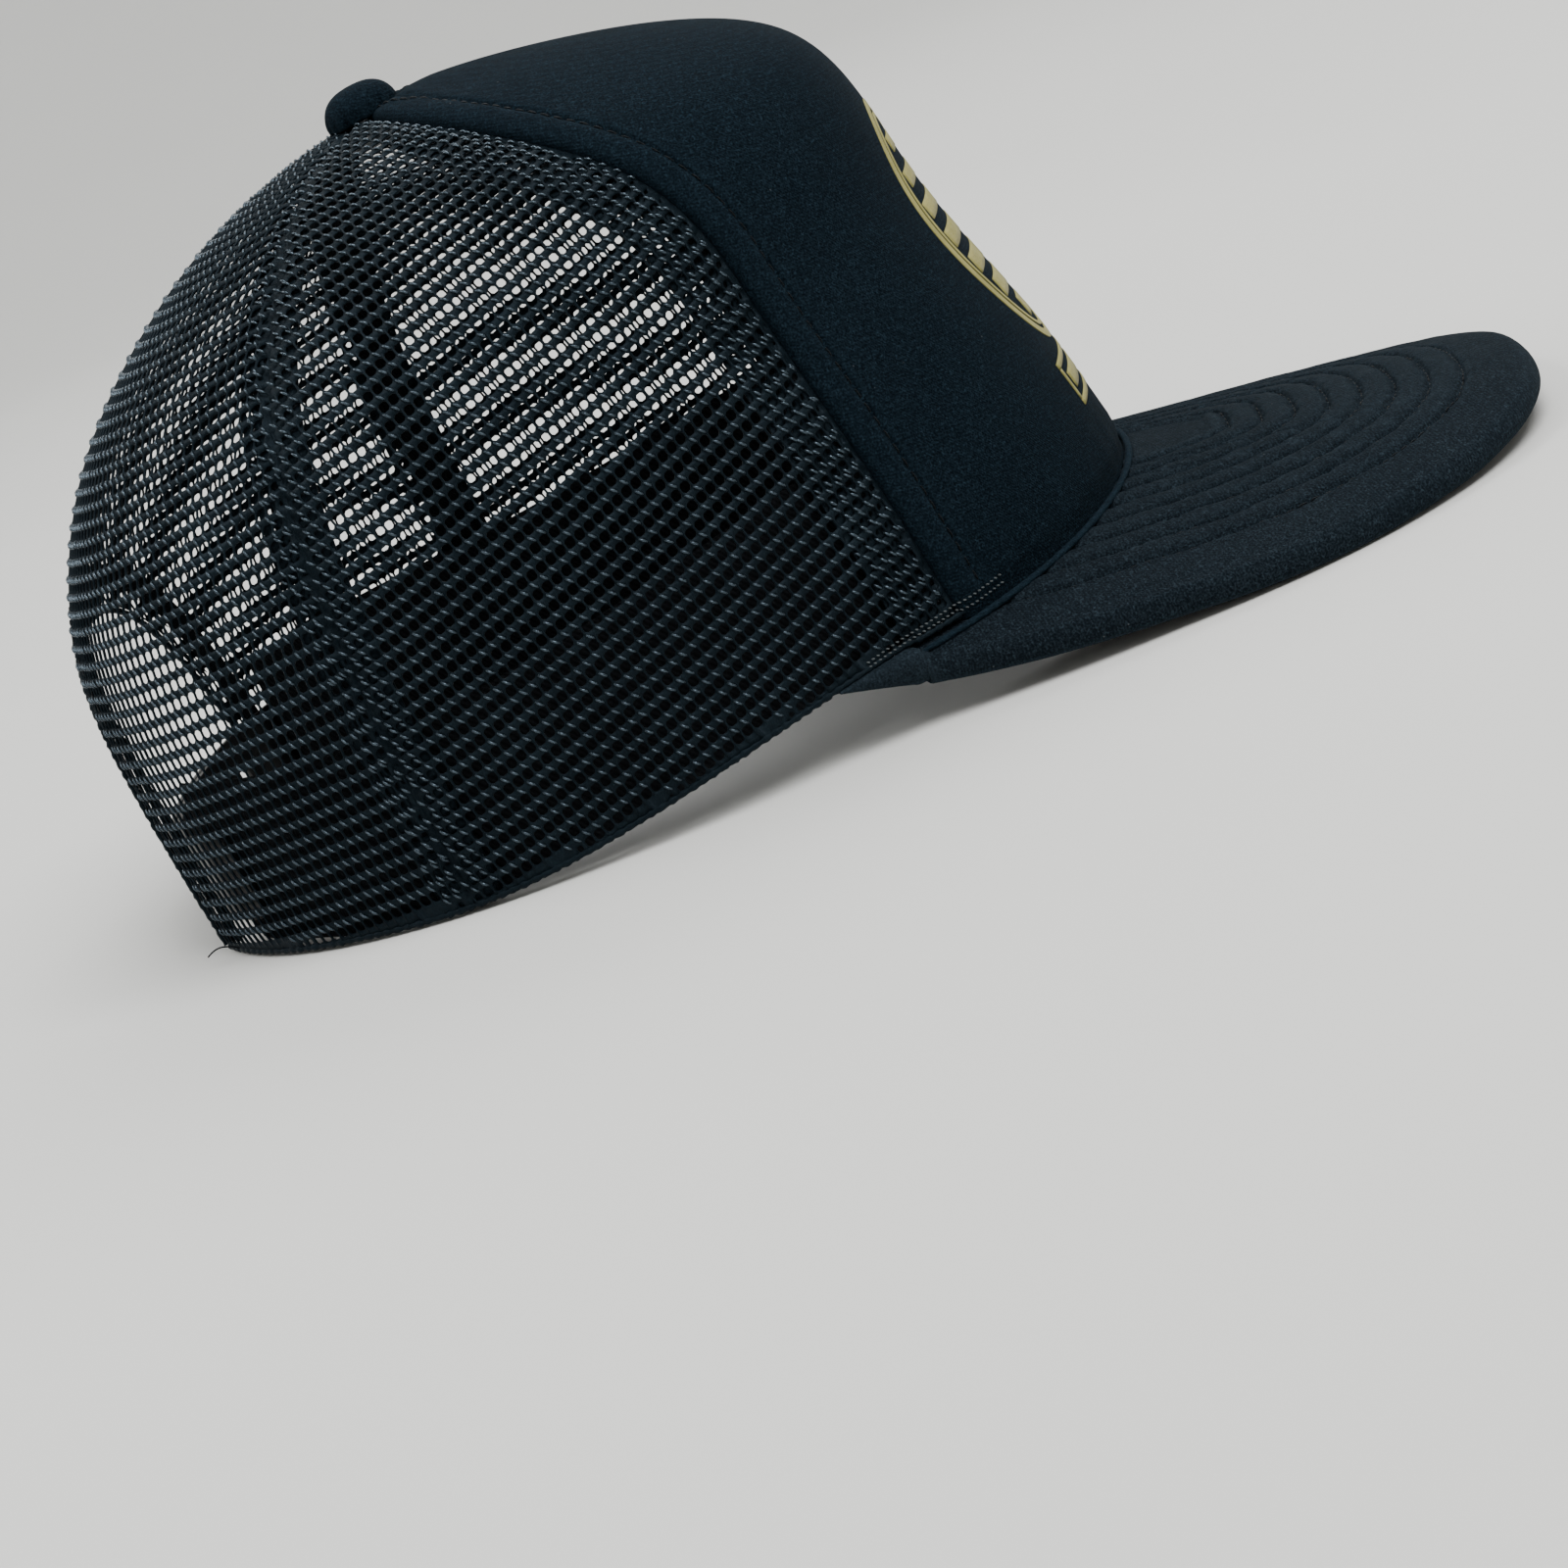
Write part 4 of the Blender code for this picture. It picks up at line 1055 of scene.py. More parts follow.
def net_yarns(shape, chart, polygon, lattice, centres):
    """The float of yarn that slants across each band, from one row's strand to the next."""
    outline = dense(polygon, 0.8)
    draw = np.random.default_rng(11)
    line = YARN_START + (YARN_END - YARN_START) * YARN_STATIONS[:, None]
    pq = centres[:, None] + line[None] + draw.normal(0.0, 0.05, (len(centres), 1, 2))
    flat = lattice.to_chart(pq.reshape(-1, 2))
    keep = inside(flat, polygon).reshape(len(centres), -1).all(1)
    flat = flat.reshape(len(centres), -1, 2)[keep].reshape(-1, 2)
    turn, rise = chart.place(flat[:, 0], flat[:, 1])
    _, edge = nearest(flat, outline)
    base = net_offset(turn, rise, edge).reshape(-1, 5)
    height = base + YARN_LIFT * draw.uniform(0.85, 1.25, (len(base), 1))
    path = layer(turn, rise, height.ravel()).reshape(-1, 5, 3)
    normal = crown_normal(turn, rise).reshape(-1, 5, 3)
    rings = round_profile(1.0, 1.0, 5) * YARN_RADIUS[:, None, None]
    for yarn in tube_points(path, normal, rings):
        shape.add(yarn, tube_faces(*rings.shape[:2]))


def arch_edge(angle):
    """The rear opening's outline as (half turn, rise), round from one foot to the other."""
    power = 2.0 / ARCH_SQUARENESS
    return (ARCH_HALF_TURN * signed_power(np.cos(angle), power),
            ARCH_TOP_RISE * np.maximum(np.sin(angle), 0.0) ** power)


def polyline(chart, *lines):
    """A polygon in chart coordinates from pieces of outline given as (turn, rise) arrays."""
    return np.concatenate([chart.locate(*np.broadcast_arrays(t, r)) for t, r in lines])


def net_offset(turn, rise, edge):
    """Height of the net's middle over the crown: tucked in at its seams, uneven elsewhere."""
    tuck = -SEAM_TUCK * bell(edge, 1.3) + SEAM_BULGE * bell(edge - 4.5, 2.5)
    soft = NET_WAVE * waves(crown(turn, rise), 42.0, 3)
    return NET_MIDDLE + tuck * smooth(rise / 0.06) + soft * smooth(edge / 9)


def build_net():
    """The side and rear panels of net, on both sides of the cap."""
    up = np.linspace(RIM_LINE, NET_TOP, 90)
    seam = np.full_like(up, SIDE_SEAM)
    side_polygon = polyline(side_chart, (front_seam(up) + 0.001, up), (seam[::-1], up[::-1]))
    half_turn, arch_rise = arch_edge(np.linspace(0.0, math.pi / 2, 60)[::-1])
    back = np.linspace(NET_TOP, ARCH_TOP_RISE * 1.01, 50)
    rear_polygon = polyline(rear_chart, (seam, up), (np.full_like(back, math.pi), back),
                            (math.pi - half_turn * 1.012,
                             np.maximum(arch_rise * 1.01, RIM_LINE)))
    for name, chart, polygon in (("side", side_chart, side_polygon),
                                 ("rear", rear_chart, rear_polygon)):
        shape = Shape()
        lattice = Lattice(NET_TILT if name == "side" else NET_TILT * 0.6)
        centres = net_sheet(shape, chart, polygon, lattice, net_offset)
        net_yarns(shape, chart, polygon, lattice, centres)
        build_pair(name + "_net", shape, NET, "net", name + "_mesh", second=FLOAT)


def build_net_allowances():
    """The net's second layer behind the seams, and the crowded yarn that shows through it."""
    shape = Shape()
    up = np.linspace(RIM_LINE, 0.9, 70)
    taper = smooth((1.0 - up) / 0.35)
    strips = []
    for seam, start, end, tilt in ((front_seam(up), 0.4, 11.5, NET_TILT * 0.4),
                                   (np.full_like(up, SIDE_SEAM), -6.2, 6.2, NET_TILT)):
        line = side_chart.locate(seam, up)
        edges = [line + np.stack([reach * taper, np.zeros_like(up)], -1)
                 for reach in (start, end)]
        polygon = np.concatenate([edges[0], edges[1][::-1]])
        lattice = Lattice(tilt, (NET_PITCH / 2, NET_ROW / 2))
        strips.append((polygon, lattice))
        net_sheet(shape, side_chart, polygon, lattice,
                  lambda turn, *_: np.full_like(turn, LOWER_LAYER), open_share=0.7)
    for polygon, lattice in strips:
        net_yarns(shape, side_chart, polygon, lattice, lattice.centres(polygon))
    build_pair("net_allowance", shape, NET, "net", second=FLOAT)


def serrated(path, radius, seed):
    """Round profiles whose width beats with the loops of the net."""
    beat = 1.0 + 0.16 * np.cos(2.0 * math.pi * distances(path) / NET_PITCH)
    beat += 0.08 * np.random.default_rng(seed).normal(size=len(path))
    return round_profile(radius, radius, 7)[None] * beat[:, None, None]


def build_net_edges():
    """The folded edge of the net along the rim, and the bound edge of the rear opening."""
    shape = Shape()
    turns = np.linspace(math.radians(FRONT_SEAM_TURN - 1.0),
                        math.pi - ARCH_HALF_TURN * 1.01, 370)
    rises = np.zeros_like(turns)
    normal = crown_normal(turns, rises)
    seated = smooth((VISOR_CORNER - turns) / 0.03)[:, None]
    lift = np.array([0.0, 0.0, 0.78]) * (1.0 - 0.4 * seated)
    path = crown(turns, rises) - normal * 0.72 + lift
    shape.add(*sweep(path, normal, serrated(path, FOLD_RADIUS, 2)))
    left = shape.mirrored()
    shape.add(np.concatenate(left.points), left.faces)
    half_turn, rise = arch_edge(np.linspace(0.0, math.pi, 300))
    turn, rise = math.pi - half_turn, np.maximum(rise, 0.004)
    normal = crown_normal(turn, rise)
    lift = np.stack([np.zeros(300), np.zeros(300), 0.6 * (1.0 - smooth(rise / 0.02))], -1)
    path = layer(turn, rise, np.full(300, -0.6)) + lift
    shape.add(*sweep(path, normal, serrated(path, BINDING_RADIUS, 4)))
    build("net_edge_fold", shape, NET, "net")
    thread = Shape()
    root = crown(math.pi - ARCH_HALF_TURN * 1.2, 0.0) + np.array([0.0, 0.0, 0.9])
    t = np.linspace(0.0, 1.0, 14)[:, None]
    curl = root + np.concatenate([-1.2 * t, 6.0 * t, 0.5 + 1.6 * np.sin(t * 2.6)], 1)
    thread.add(*sweep(curl, np.tile([0.0, 0.0, 1.0], (14, 1)), round_profile(0.16, 0.16, 6)))
    build("loose_thread", thread, THREAD, "net")


# ---------------------------------------------------------------- tapes and sweatband

TAPE_DEPTH = -1.6              # of a tape's outer face under the crown's surface
TAPE_THICKNESS = 0.55
TAPE_STITCH = 2.8
TAPE_TOP = 0.78                # rise at which the tapes end
SWEATBAND_END = math.radians(149.0)
SWEATBAND_TOP = 0.2
SWEATBAND_THICKNESS = 1.5
SWEATBAND_DEPTH = 3.7
SWEATBAND_STEP = 2.2           # how far it steps in behind the strap tabs


def band(turn, rise, outer, inner, soften=0.16, seed=1):
    """A woven band on the crown's inner side with softened edges."""
    columns = np.arange(turn.shape[1])
    ease = soften * np.exp(-np.minimum(columns, columns[::-1]) / 0.9)[None]
    wave = 0.1 * waves(crown(turn, rise), 17.0, seed)
    return sheet(layer(turn, rise, outer - ease + wave), layer(turn, rise, inner + ease + wave))


def seam_band(turn_of, start, end, rises, columns=9):
    """A tape between two distances from a seam, with a row of stitches near each edge."""
    rise = np.repeat(rises[:, None], columns, 1)
    offset = start + (end - start) * np.linspace(0.0, 1.0, columns)[None]
    seam = turn_of(rise)
    step = 0.01
    speed = np.linalg.norm(crown(seam + step, rise) - crown(seam - step, rise), axis=-1)
    turn = seam + offset * 2.0 * step / speed
    level = np.full(turn.shape, TAPE_DEPTH)
    tape = Shape().add(*band(turn, rise, level, level - TAPE_THICKNESS))
    sewn = Shape()
    for column in (1, columns - 2):
        sew(sewn, turn[:, column], rise[:, column], TAPE_DEPTH - TAPE_THICKNESS - 0.02, -1.0,
            pitch=TAPE_STITCH, radius=0.17)
    return tape, sewn


def arch_lines(start, end, columns=9, steps=90):
    """Lines round the rear opening, at distances from its edge."""
    half_turn, rise = arch_edge(np.linspace(0.0, math.pi, steps)[:, None])
    distance = np.linspace(start, end, columns)[None]
    return math.pi - half_turn * (1.0 + distance / 44.0), 0.012 + rise * (1.0 + distance / 60.0)


def straight_seam(turn):
    return lambda rise: np.full_like(rise, turn)


def build_tapes():
    """The tapes over the seams, inside the crown, and round the rear opening."""
    rises = np.linspace(0.004, TAPE_TOP, 70)
    for name, seam, start, end in (("front", front_seam, 0.5, 5.5),
                                   ("side", straight_seam(SIDE_SEAM), -4.0, 4.0)):
        tape, sewn = seam_band(seam, start, end, rises)
        build_pair(name + "_tape", tape, TAPE, "seam_tape", name + "_seam_tape")
        build_pair(name + "_tape_stitches", sewn, THREAD, "seam_tape")
    tape, sewn = seam_band(straight_seam(math.pi), -3.6, 3.6, np.linspace(0.49, TAPE_TOP, 30))
    build("back_tape", tape, TAPE, "seam_tape", "center_back_seam_tape")
    build("back_tape_stitches", sewn, THREAD, "seam_tape")
    turn, rise = arch_lines(2.4, 7.6)
    depth = np.full(turn.shape, -1.55)
    build("opening_tape", Shape().add(*band(turn, rise, depth, depth - 0.6)), TAPE,
          "seam_tape", "arch_tape")
    sewn = Shape()
    for column in (1, 7):
        for depth, face, radius in ((-2.18, -1.0, 0.17), (-0.30, 1.0, 0.16)):
            sew(sewn, turn[:, column], rise[:, column], depth, face, pitch=TAPE_STITCH,
                radius=radius)
    build("opening_tape_stitches", sewn, THREAD, "seam_tape")


def sweatband_depth(turn):
    back = smooth((np.degrees(np.abs(turn)) - 122.0) / 14.0)
    return SWEATBAND_DEPTH + SWEATBAND_STEP * back


def build_sweatband():
    """The folded band inside the rim, with its two rows of slanting stitches."""
    across = np.linspace(-SWEATBAND_END, SWEATBAND_END, 260)[None]
    ups = np.concatenate([[0.0, 0.004, 0.012, 0.022], np.linspace(0.034, 0.166, 16),
                          [0.178, 0.188, 0.196, 0.2]])[:, None]
    turn, rise = np.broadcast_arrays(across, ups)
    edge = np.minimum(rise, SWEATBAND_TOP - rise) / 0.014
    ease = 0.62 * (1.0 - np.sqrt(1.0 - (1.0 - np.clip(edge, 0.0, 1.0)) ** 2))
    place = crown(turn, rise)
    soft = 0.16 * waves(place, 14.0, 21) + 0.22 * waves(place, 40.0, 22)
    line = 0.16 * bell(rise - 0.03, 0.006)
    depth = -sweatband_depth(turn)
    outer = layer(turn, rise, depth - ease)
    inner = layer(turn, rise, depth - SWEATBAND_THICKNESS + ease + soft * smooth(edge / 3.0)
                  + line)
    build("sweatband_cloth", Shape().add(*sheet(outer, inner)), BAND, "sweatband_cloth",
          "sweatband")
    sewn = Shape()
    ends = across[0, 3:-3]
    for height in (0.03, 0.185):
        sew(sewn, ends, np.full_like(ends, height),
            -sweatband_depth(ends) - SWEATBAND_THICKNESS + 0.12, -1.0,
            pitch=3.2, radius=0.2, lean=0.25)
    build("sweatband_stitches", sewn, THREAD, "sweatband_cloth")


# ---------------------------------------------------------------- visor

VISOR_STITCH = 2.9
VISOR_SEWING = {"pitch": VISOR_STITCH, "share": 0.74, "radius": 0.19}
CLOTH_BOTTOM = -2.6            # height of the top cover's inner face
UNDER_ROUND = 2.6              # radius of the under cover's edge
UNDER_RELIEF = 0.75            # share of the quilting that shows underneath
UNDER_CLOTH = 0.62
UNDER_TOP = -4.78              # no part of the under cover's inner face lies higher
BINDING_ROW = 3.4              # distance of the lowest stitch row from the visor's edge
BINDING_HEIGHT = -5.42
VISOR_END_RUN = 0.155          # how far past the visor's corner its cloth runs out, in radians
WELT_END = math.radians(61.0)
WELT_ROUND = (0.66, 0.74)


def visor_inner(share):
    """The visor's edge under the crown, in plan."""
    turn = VISOR_CORNER * share
    return rim_plan(turn) - rim_normal(turn) * VISOR_TUCK


def visor_outline(share):
    """The visor's outline in plan, from -1 at one corner to 1 at the other."""
    angle = share * math.pi / 2
    c, s = np.cos(angle), np.sin(angle)
    power = 2.0 / VISOR_ROUNDNESS
    front_y = -RIM_HALF_LENGTH - VISOR_LENGTH
    x = signed_power(s, power) * CORNER_X
    y = CORNER_Y + (front_y - CORNER_Y) * np.abs(c) ** power
    bulge = VISOR_HALF_WIDTH / abs(CORNER_X) - 1.0
    x = x * (1.0 + bulge * 4.0 * np.abs(c) * (1.0 - np.abs(c)))
    corner = smooth((np.abs(share) - 0.8) / 0.2)
    outward = rim_normal(VISOR_CORNER * share)
    return np.stack([x, y], -1) + outward * ((VISOR_CORNER_WIDTH - VISOR_TUCK) * corner)[:, None]


def even_outline(count):
    """Shares along the outline at nearly even spacing."""
    fine = np.linspace(-1.0, 1.0, 3000)
    along = distances(visor_outline(fine))
    return np.interp(np.linspace(0.0, along[-1], count), along, fine)


OUTLINE = visor_outline(even_outline(700))
OUTLINE_ALONG = distances(OUTLINE)


def inset_of(plan):
    """Distance of plan points from the visor's outline, and how far round it they lie."""
    best, distance = nearest(plan.reshape(-1, 2), OUTLINE)
    return distance.reshape(plan.shape[:-1]), OUTLINE_ALONG[best].reshape(plan.shape[:-1])


def stitch_rows(inset):
    """The stitch row nearest to each place, and the distance past it."""
    row = np.clip(np.round((inset - QUILT_FIRST) / QUILT_PITCH), 0, QUILT_ROWS - 1)
    return row, inset - QUILT_FIRST - row * QUILT_PITCH


def quilting(plan):
    """Relief of the padded visor: soft channels between stitch rows, puckered by the thread."""
    inset, along = inset_of(plan)
    row, past = stitch_rows(inset)
    between = (np.abs(past) <= QUILT_PITCH / 2) & (inset > QUILT_FIRST)
    channel = np.where(between, np.abs(np.sin(math.pi * past / QUILT_PITCH)) ** 0.8, 0.0)
    groove = bell(past, 0.7)
    pull = bell(np.abs(past), 1.7)
    beat = np.cos(2.0 * math.pi * along / VISOR_STITCH + row * 1.9)
    drift = np.sin(along / 4.1 + row * 2.3 + past) + np.sin(along / 1.9 + row * 0.7 - past)
    place = flat_points(plan[..., 0], plan[..., 1])
    relief = 0.62 * channel - 0.64 * groove + 0.20 * beat * pull + 0.12 * drift * pull
    relief += 0.26 * np.sin(math.pi * np.clip(inset / QUILT_FIRST, 0.0, 1.0)) * smooth(inset / 5)
    return relief + 0.16 * waves(place, 13.0, 31) * smooth(inset / 6.0), inset


def visor_points(plan, height):
    """Standing points at a height over the visor's flat face."""
    return stand_plan(plan, visor_height(plan[..., 0], plan[..., 1]) - VISOR_SEAT + height)


def across_visor(shares, depth):
    """Plan points a number of millimetres in from the outline, towards the crown."""
    edge, inner = visor_outline(shares), visor_inner(shares)
    run = np.linalg.norm(inner - edge, axis=1)[:, None]
    return edge[:, None] + (inner - edge)[:, None] * (depth / run)[..., None]


VISOR_SHARES = even_outline(260)


def cover_grid(angles, inward_steps):
    """Depths and edge angles of a cover's stations, crowded at the stitch rows."""
    depths = EDGE_WIDTH * (1.0 - np.cos(angles))
    run = np.linalg.norm(visor_inner(VISOR_SHARES) - visor_outline(VISOR_SHARES), axis=1)
    fine = depths[-1] + (run[:, None] - depths[-1]) * np.linspace(0.0, 1.0, 400)[None]
    _, past = stitch_rows(inset_of(across_visor(VISOR_SHARES, fine))[0])
    crowd = np.cumsum(1.0 + 3.0 * bell(past, 0.9), 1)
    steps = [np.linspace(total[0], total[-1], inward_steps + 1)[1:] for total in crowd]
    flat = np.array([np.interp(*row) for row in zip(steps, crowd, fine)])
    depth = np.concatenate([np.tile(depths, (len(run), 1)), flat], 1)
    angle = np.concatenate([angles, np.full(inward_steps, math.copysign(math.pi / 2,
                                                                        angles[-1]))])
    return depth, angle


def build_visor():
    """The quilted top cover, wrapped round the visor's edge, and the cover underneath."""
    depth, angle = cover_grid(np.linspace(math.radians(-55.0), math.pi / 2, 13), 118)
    plan = across_visor(VISOR_SHARES, depth)
    relief, inset = quilting(plan)
    lift = np.where(angle > 1.0, 1.0, 0.0)[None] * smooth((inset - 1.2) / 4.0)
    rim_wave = 0.16 * waves(visor_points(plan, 0.0 * inset), 15.0, 33)
    outer = visor_points(plan, VISOR_MIDDLE + EDGE_HEIGHT * np.sin(angle)[None]
                         + relief * lift + rim_wave * (1.0 - lift))
    inner_depth = np.where(angle[None] < 0.0, 2.6 - 2.0 * np.cos(angle)[None],
                           np.maximum(depth, 0.6))
    inner_height = np.where(angle < 0.0, VISOR_MIDDLE + 2.0 * np.sin(angle), CLOTH_BOTTOM)[None]
    inner = visor_points(across_visor(VISOR_SHARES, inner_depth),
                         np.broadcast_to(inner_height, inner_depth.shape))
    build("visor_top_cloth", Shape().add(*sheet(outer, inner)), VISOR_KNIT_PAINTED_LIGHT, "knit_cloth",
          "visor_top_cover", "visor_foam")

    depth, angle = cover_grid(-np.radians([66.0, 70.0, 75.0, 80.0, 85.0, 90.0]), 84)
    plan = across_visor(VISOR_SHARES, depth)
    relief, inset = quilting(plan)
    under = VISOR_MIDDLE + UNDER_ROUND * np.sin(angle)[None]
    outer = visor_points(plan, under - UNDER_RELIEF * relief * smooth((inset - 3.0) / 4.0))
    inner = visor_points(plan, np.minimum(under + UNDER_CLOTH, UNDER_TOP))
    build("visor_under_cloth", Shape().add(*sheet(outer, inner)), VISOR_KNIT_PAINTED_LIGHT, "knit_cloth",
          "visor_under_cover")


def build_visor_ends():
    """The visor's two ends: the cloth is drawn together and runs out under the net's rim."""
    turns = np.linspace(VISOR_CORNER - 0.04, VISOR_CORNER + VISOR_END_RUN, 44)
    left = 1.0 - np.clip((turns - VISOR_CORNER) / VISOR_END_RUN, 0.0, 1.0)
    top = 0.4 - 2.2 * smooth((VISOR_CORNER + 0.015 - turns) / 0.05)
    bottom = -0.1 - 6.6 * left
    wide, high = 0.6 + 2.5 * left, (top - bottom) / 2
    normal = crown_normal(turns, 0.0)
    path = crown(turns, 0.0) + normal * (0.15 - 0.6 * (1.0 - left))[:, None]
    path[:, 2] += (top + bottom) / 2
    angles = np.arange(18) * math.pi / 9.0
    round_ = np.stack([signed_power(np.sin(angles), 0.8), signed_power(np.cos(angles), 0.8)], -1)
    profile = np.stack([high[:, None] * round_[None, :, 0], wide[:, None] * round_[None, :, 1]],
                       -1)
    shape = Shape().add(*sweep(path, normal, profile))
    build_pair("visor_end_fold", shape, VISOR_KNIT_PAINTED_LIGHT, "knit_cloth")


def inset_line(distance):
    """The visor's outline moved inwards, cut off where it would run under the crown."""
    along = unit(np.gradient(OUTLINE, axis=0))
    inward = np.stack([along[:, 1], -along[:, 0]], -1)
    if np.sum(inward[350] * (OUTLINE[0] - OUTLINE[350])) < 0.0:
        inward = -inward
    line = OUTLINE + inward * distance
    near, _ = inset_of(line)
    turn = np.arctan2(-line[:, 0] / RIM_HALF_WIDTH, -line[:, 1] / RIM_HALF_LENGTH)
    clear = np.linalg.norm(line, axis=1) - np.linalg.norm(rim_plan(turn), axis=1)
    return line[(near > distance - 0.15) & (clear > 2.4)]


def build_visor_stitches():
    """The rows of stitches on both faces, and one more round the edge underneath."""
    for name, side in (("top", 1.0), ("under", -1.0)):
        shape = Shape()
        for row in range(QUILT_ROWS):
            line = inset_line(QUILT_FIRST + QUILT_PITCH * row)
            if len(line) < 12:
                continue
            relief, _ = quilting(line)
            height = relief + 0.06
            if side < 0:
                height = VISOR_MIDDLE - UNDER_ROUND - UNDER_RELIEF * relief - 0.04
            path = visor_points(line, height)
            slope = np.stack([2.0 * VISOR_CROSS_CURVE * line[:, 0],
                              np.full(len(line), -math.tan(VISOR_DROOP)),
                              np.ones(len(line))], -1)
            stitches(shape, path, stand_turn(unit(slope)) * side, **VISOR_SEWING)
        if side < 0:
            line = inset_line(BINDING_ROW)
            slope = np.tile([0.0, -math.tan(VISOR_DROOP), 1.0], (len(line), 1))
            stitches(shape, visor_points(line, BINDING_HEIGHT),
                     -stand_turn(unit(slope)), **VISOR_SEWING)
        build(f"visor_{name}_stitches", shape, THREAD, "knit_cloth")


def build_welt():
    """The corded seam between the front pad and the visor, and its two rows of stitches."""
    turns = np.linspace(-WELT_END, WELT_END, 260)
    out = rim_normal(turns)
    plan = rim_plan(turns) + out * 1.5
    base = visor_height(plan[:, 0], plan[:, 1]) - VISOR_SEAT
    path = stand_plan(plan, base + 0.7)
    along = distances(path)
    beat = 1.0 + 0.05 * np.cos(2.0 * math.pi * along / 2.6) + 0.04 * np.sin(along / 5.0)
    beat *= 0.4 + 0.6 * smooth((WELT_END - np.abs(turns)) / 0.06)
    profile = round_profile(*WELT_ROUND, 10)[None] * beat[:, None, None]
    build("welt_cord", Shape().add(*sweep(path, stand_out(out), profile)), KNIT, "knit_cloth",
          "visor_seam_welt")
    shape = Shape()
    for side in (-1.0, 1.0):
        for low, high in ((1.2, 1.8), (2.1, 3.0)):
            turn = side * np.radians(np.linspace(66.0, 46.5, 70))
            height = np.linspace(low, high, 70)
            rise = front_chart.rise_at(height)
            on_pad = np.abs(turn) < front_seam(rise)
            pad = pad_height(front_chart.locate(turn, rise)[:, 0], rise)
            line = layer(turn, rise, np.where(on_pad, np.maximum(pad, -0.3), -0.3) + 0.08)
            line[:, 2] -= np.where(on_pad, RIM_TUCK * (1.0 - smooth(height / RIM_EASE)), 0.0)
            stitches(shape, line, crown_normal(turn, rise), pitch=1.1, share=0.6,
                     radius=0.15, lean=0.5)
    # The paleness of these rim stitches is partly a painted glint on dark grey thread.
    build("rim_stitches", shape, GREY_THREAD_PAINTED_GLINT, "knit_cloth")


# ---------------------------------------------------------------- button

DOME = (7.4, 5.4)              # radius and height of the button's outer face
DOME_INSIDE = (6.7, 4.7)
DOME_BASE = 0.5                # height at which both start, over the crown's top
LIP = [(6.9, -0.75), (7.28, -0.75), (7.36, -0.1)]


def dome(radius, height, steps=16):
    """The (radius, height) outline of a dome, from its edge to its top."""
    angles = np.linspace(0.0, math.pi / 2, steps + 1)
    radii = radius * np.cos(angles) ** 0.75
    radii[-1] = 0.0
    return np.stack([radii, DOME_BASE + height * np.sin(angles)], -1)


def spun(profile, sides, wobble):
    """Spin a (radius, height) outline about the crown's top, from axis to axis."""
    angles = np.arange(sides) * 2.0 * math.pi / sides
    rings = []
    for radius, height in profile:
        a = angles if radius > 0.0 else angles[:1]
        ring = np.stack([radius * np.cos(a), BUTTON_Y + radius * np.sin(a),
                         np.full(len(a), CROWN_HEIGHT + height)], -1)
        rings.append(wobble(ring, a))
    turned = round_pairs(sides)
    last = 1 + (len(profile) - 3) * sides
    faces = [(0, 1 + k, 1 + n) for k, n in turned]
    faces += grid_faces(len(profile) - 2, sides, wrap=True, start=1)
    faces += [(last + k, last + n, last + sides) for k, n in turned]
    return stand(np.concatenate(rings)), faces


def build_button():
    """The covered button: cloth drawn over a steel shell, gathered at its lower edge."""
    def gathered(ring, angles):
        low = smooth((CROWN_HEIGHT + 3.6 - ring[:, 2]) / 3.2)
        fold = 0.16 * np.cos(angles * 17.0) + 0.1 * np.cos(angles * 7.0 + 1.0)
        grow = 1.0 + low * fold / 7.0
        centre = np.array([0.0, BUTTON_Y, 0.0])
        ring = centre + (ring - centre) * np.stack([grow, grow, np.ones_like(grow)], -1)
        ring[:, 2] += 0.12 * waves(ring, 9.0, 12)
        return ring
    profile = np.concatenate([dome(*DOME_INSIDE)[::-1], LIP, dome(*DOME)])
    build("button_cloth", Shape().add(*spun(profile, 72, gathered)), KNIT, "knit_cloth",
          "button_cover")


# ---------------------------------------------------------------- snap closure

STRAP_MIDDLE = (STRAP_LOW + STRAP_HIGH) / 2
STRAP_HALF = (STRAP_HIGH - STRAP_LOW) / 2
STRAP_HEIGHTS = np.array([-9.0, -6.0, -3.0, -1.5, 0.0, 1.5, 3.0, 6.0, 9.0])
HINGE_NECK = 0.55              # share of the thickness left at the living hinge
TIP_STEPS = 6                  # points between the corners of a block's long edges
SIDE_POINTS = len(STRAP_HEIGHTS)
COLLAR_WIDTHS = (0.95, 0.35, 0.0)         # of the rings round a hole
COLLAR_RISES = (0.0, 0.24, 0.24, -0.12)   # of the block's outline and of those rings
HINGE_STATIONS = np.array([37.3, 38.2, 38.7, STRAP_HINGE_X, 39.3, 39.8])
PEG_PROFILE = [(1.62, 0.35), (1.55, 1.3), (1.5, 1.95), (1.86, 2.12), (1.9, 2.3), (1.62, 2.58),
               (1.0, 2.7)]     # (radius, height over the strap's middle)
PEG_SIDES = 20
WELD = 0.00005                 # in metres, as is the next
STRAP_EDGE = 0.00022           # rounding of a strap's edges
BORDER_START, BORDER_END = -19.0, 35.5
BORDER_INSET = 1.15            # of the raised border from the strap's long edge
BORDER_ROUND = (0.5, 0.3)


def strap_arc(x, offset):
    """Plan points of the closed straps at a depth outwards, and their outward directions."""
    radius = (STRAP_HINGE_X ** 2 + STRAP_BOW ** 2) / (2.0 * STRAP_BOW)
    angle = np.arcsin(x / radius)
    centre_y = STRAP_HINGE_Y + STRAP_BOW - radius
    out = np.stack([np.sin(angle), np.cos(angle)], -1)
    reach = radius + np.asarray(offset)
    return np.array([0.0, centre_y]) + out * reach[..., None], out


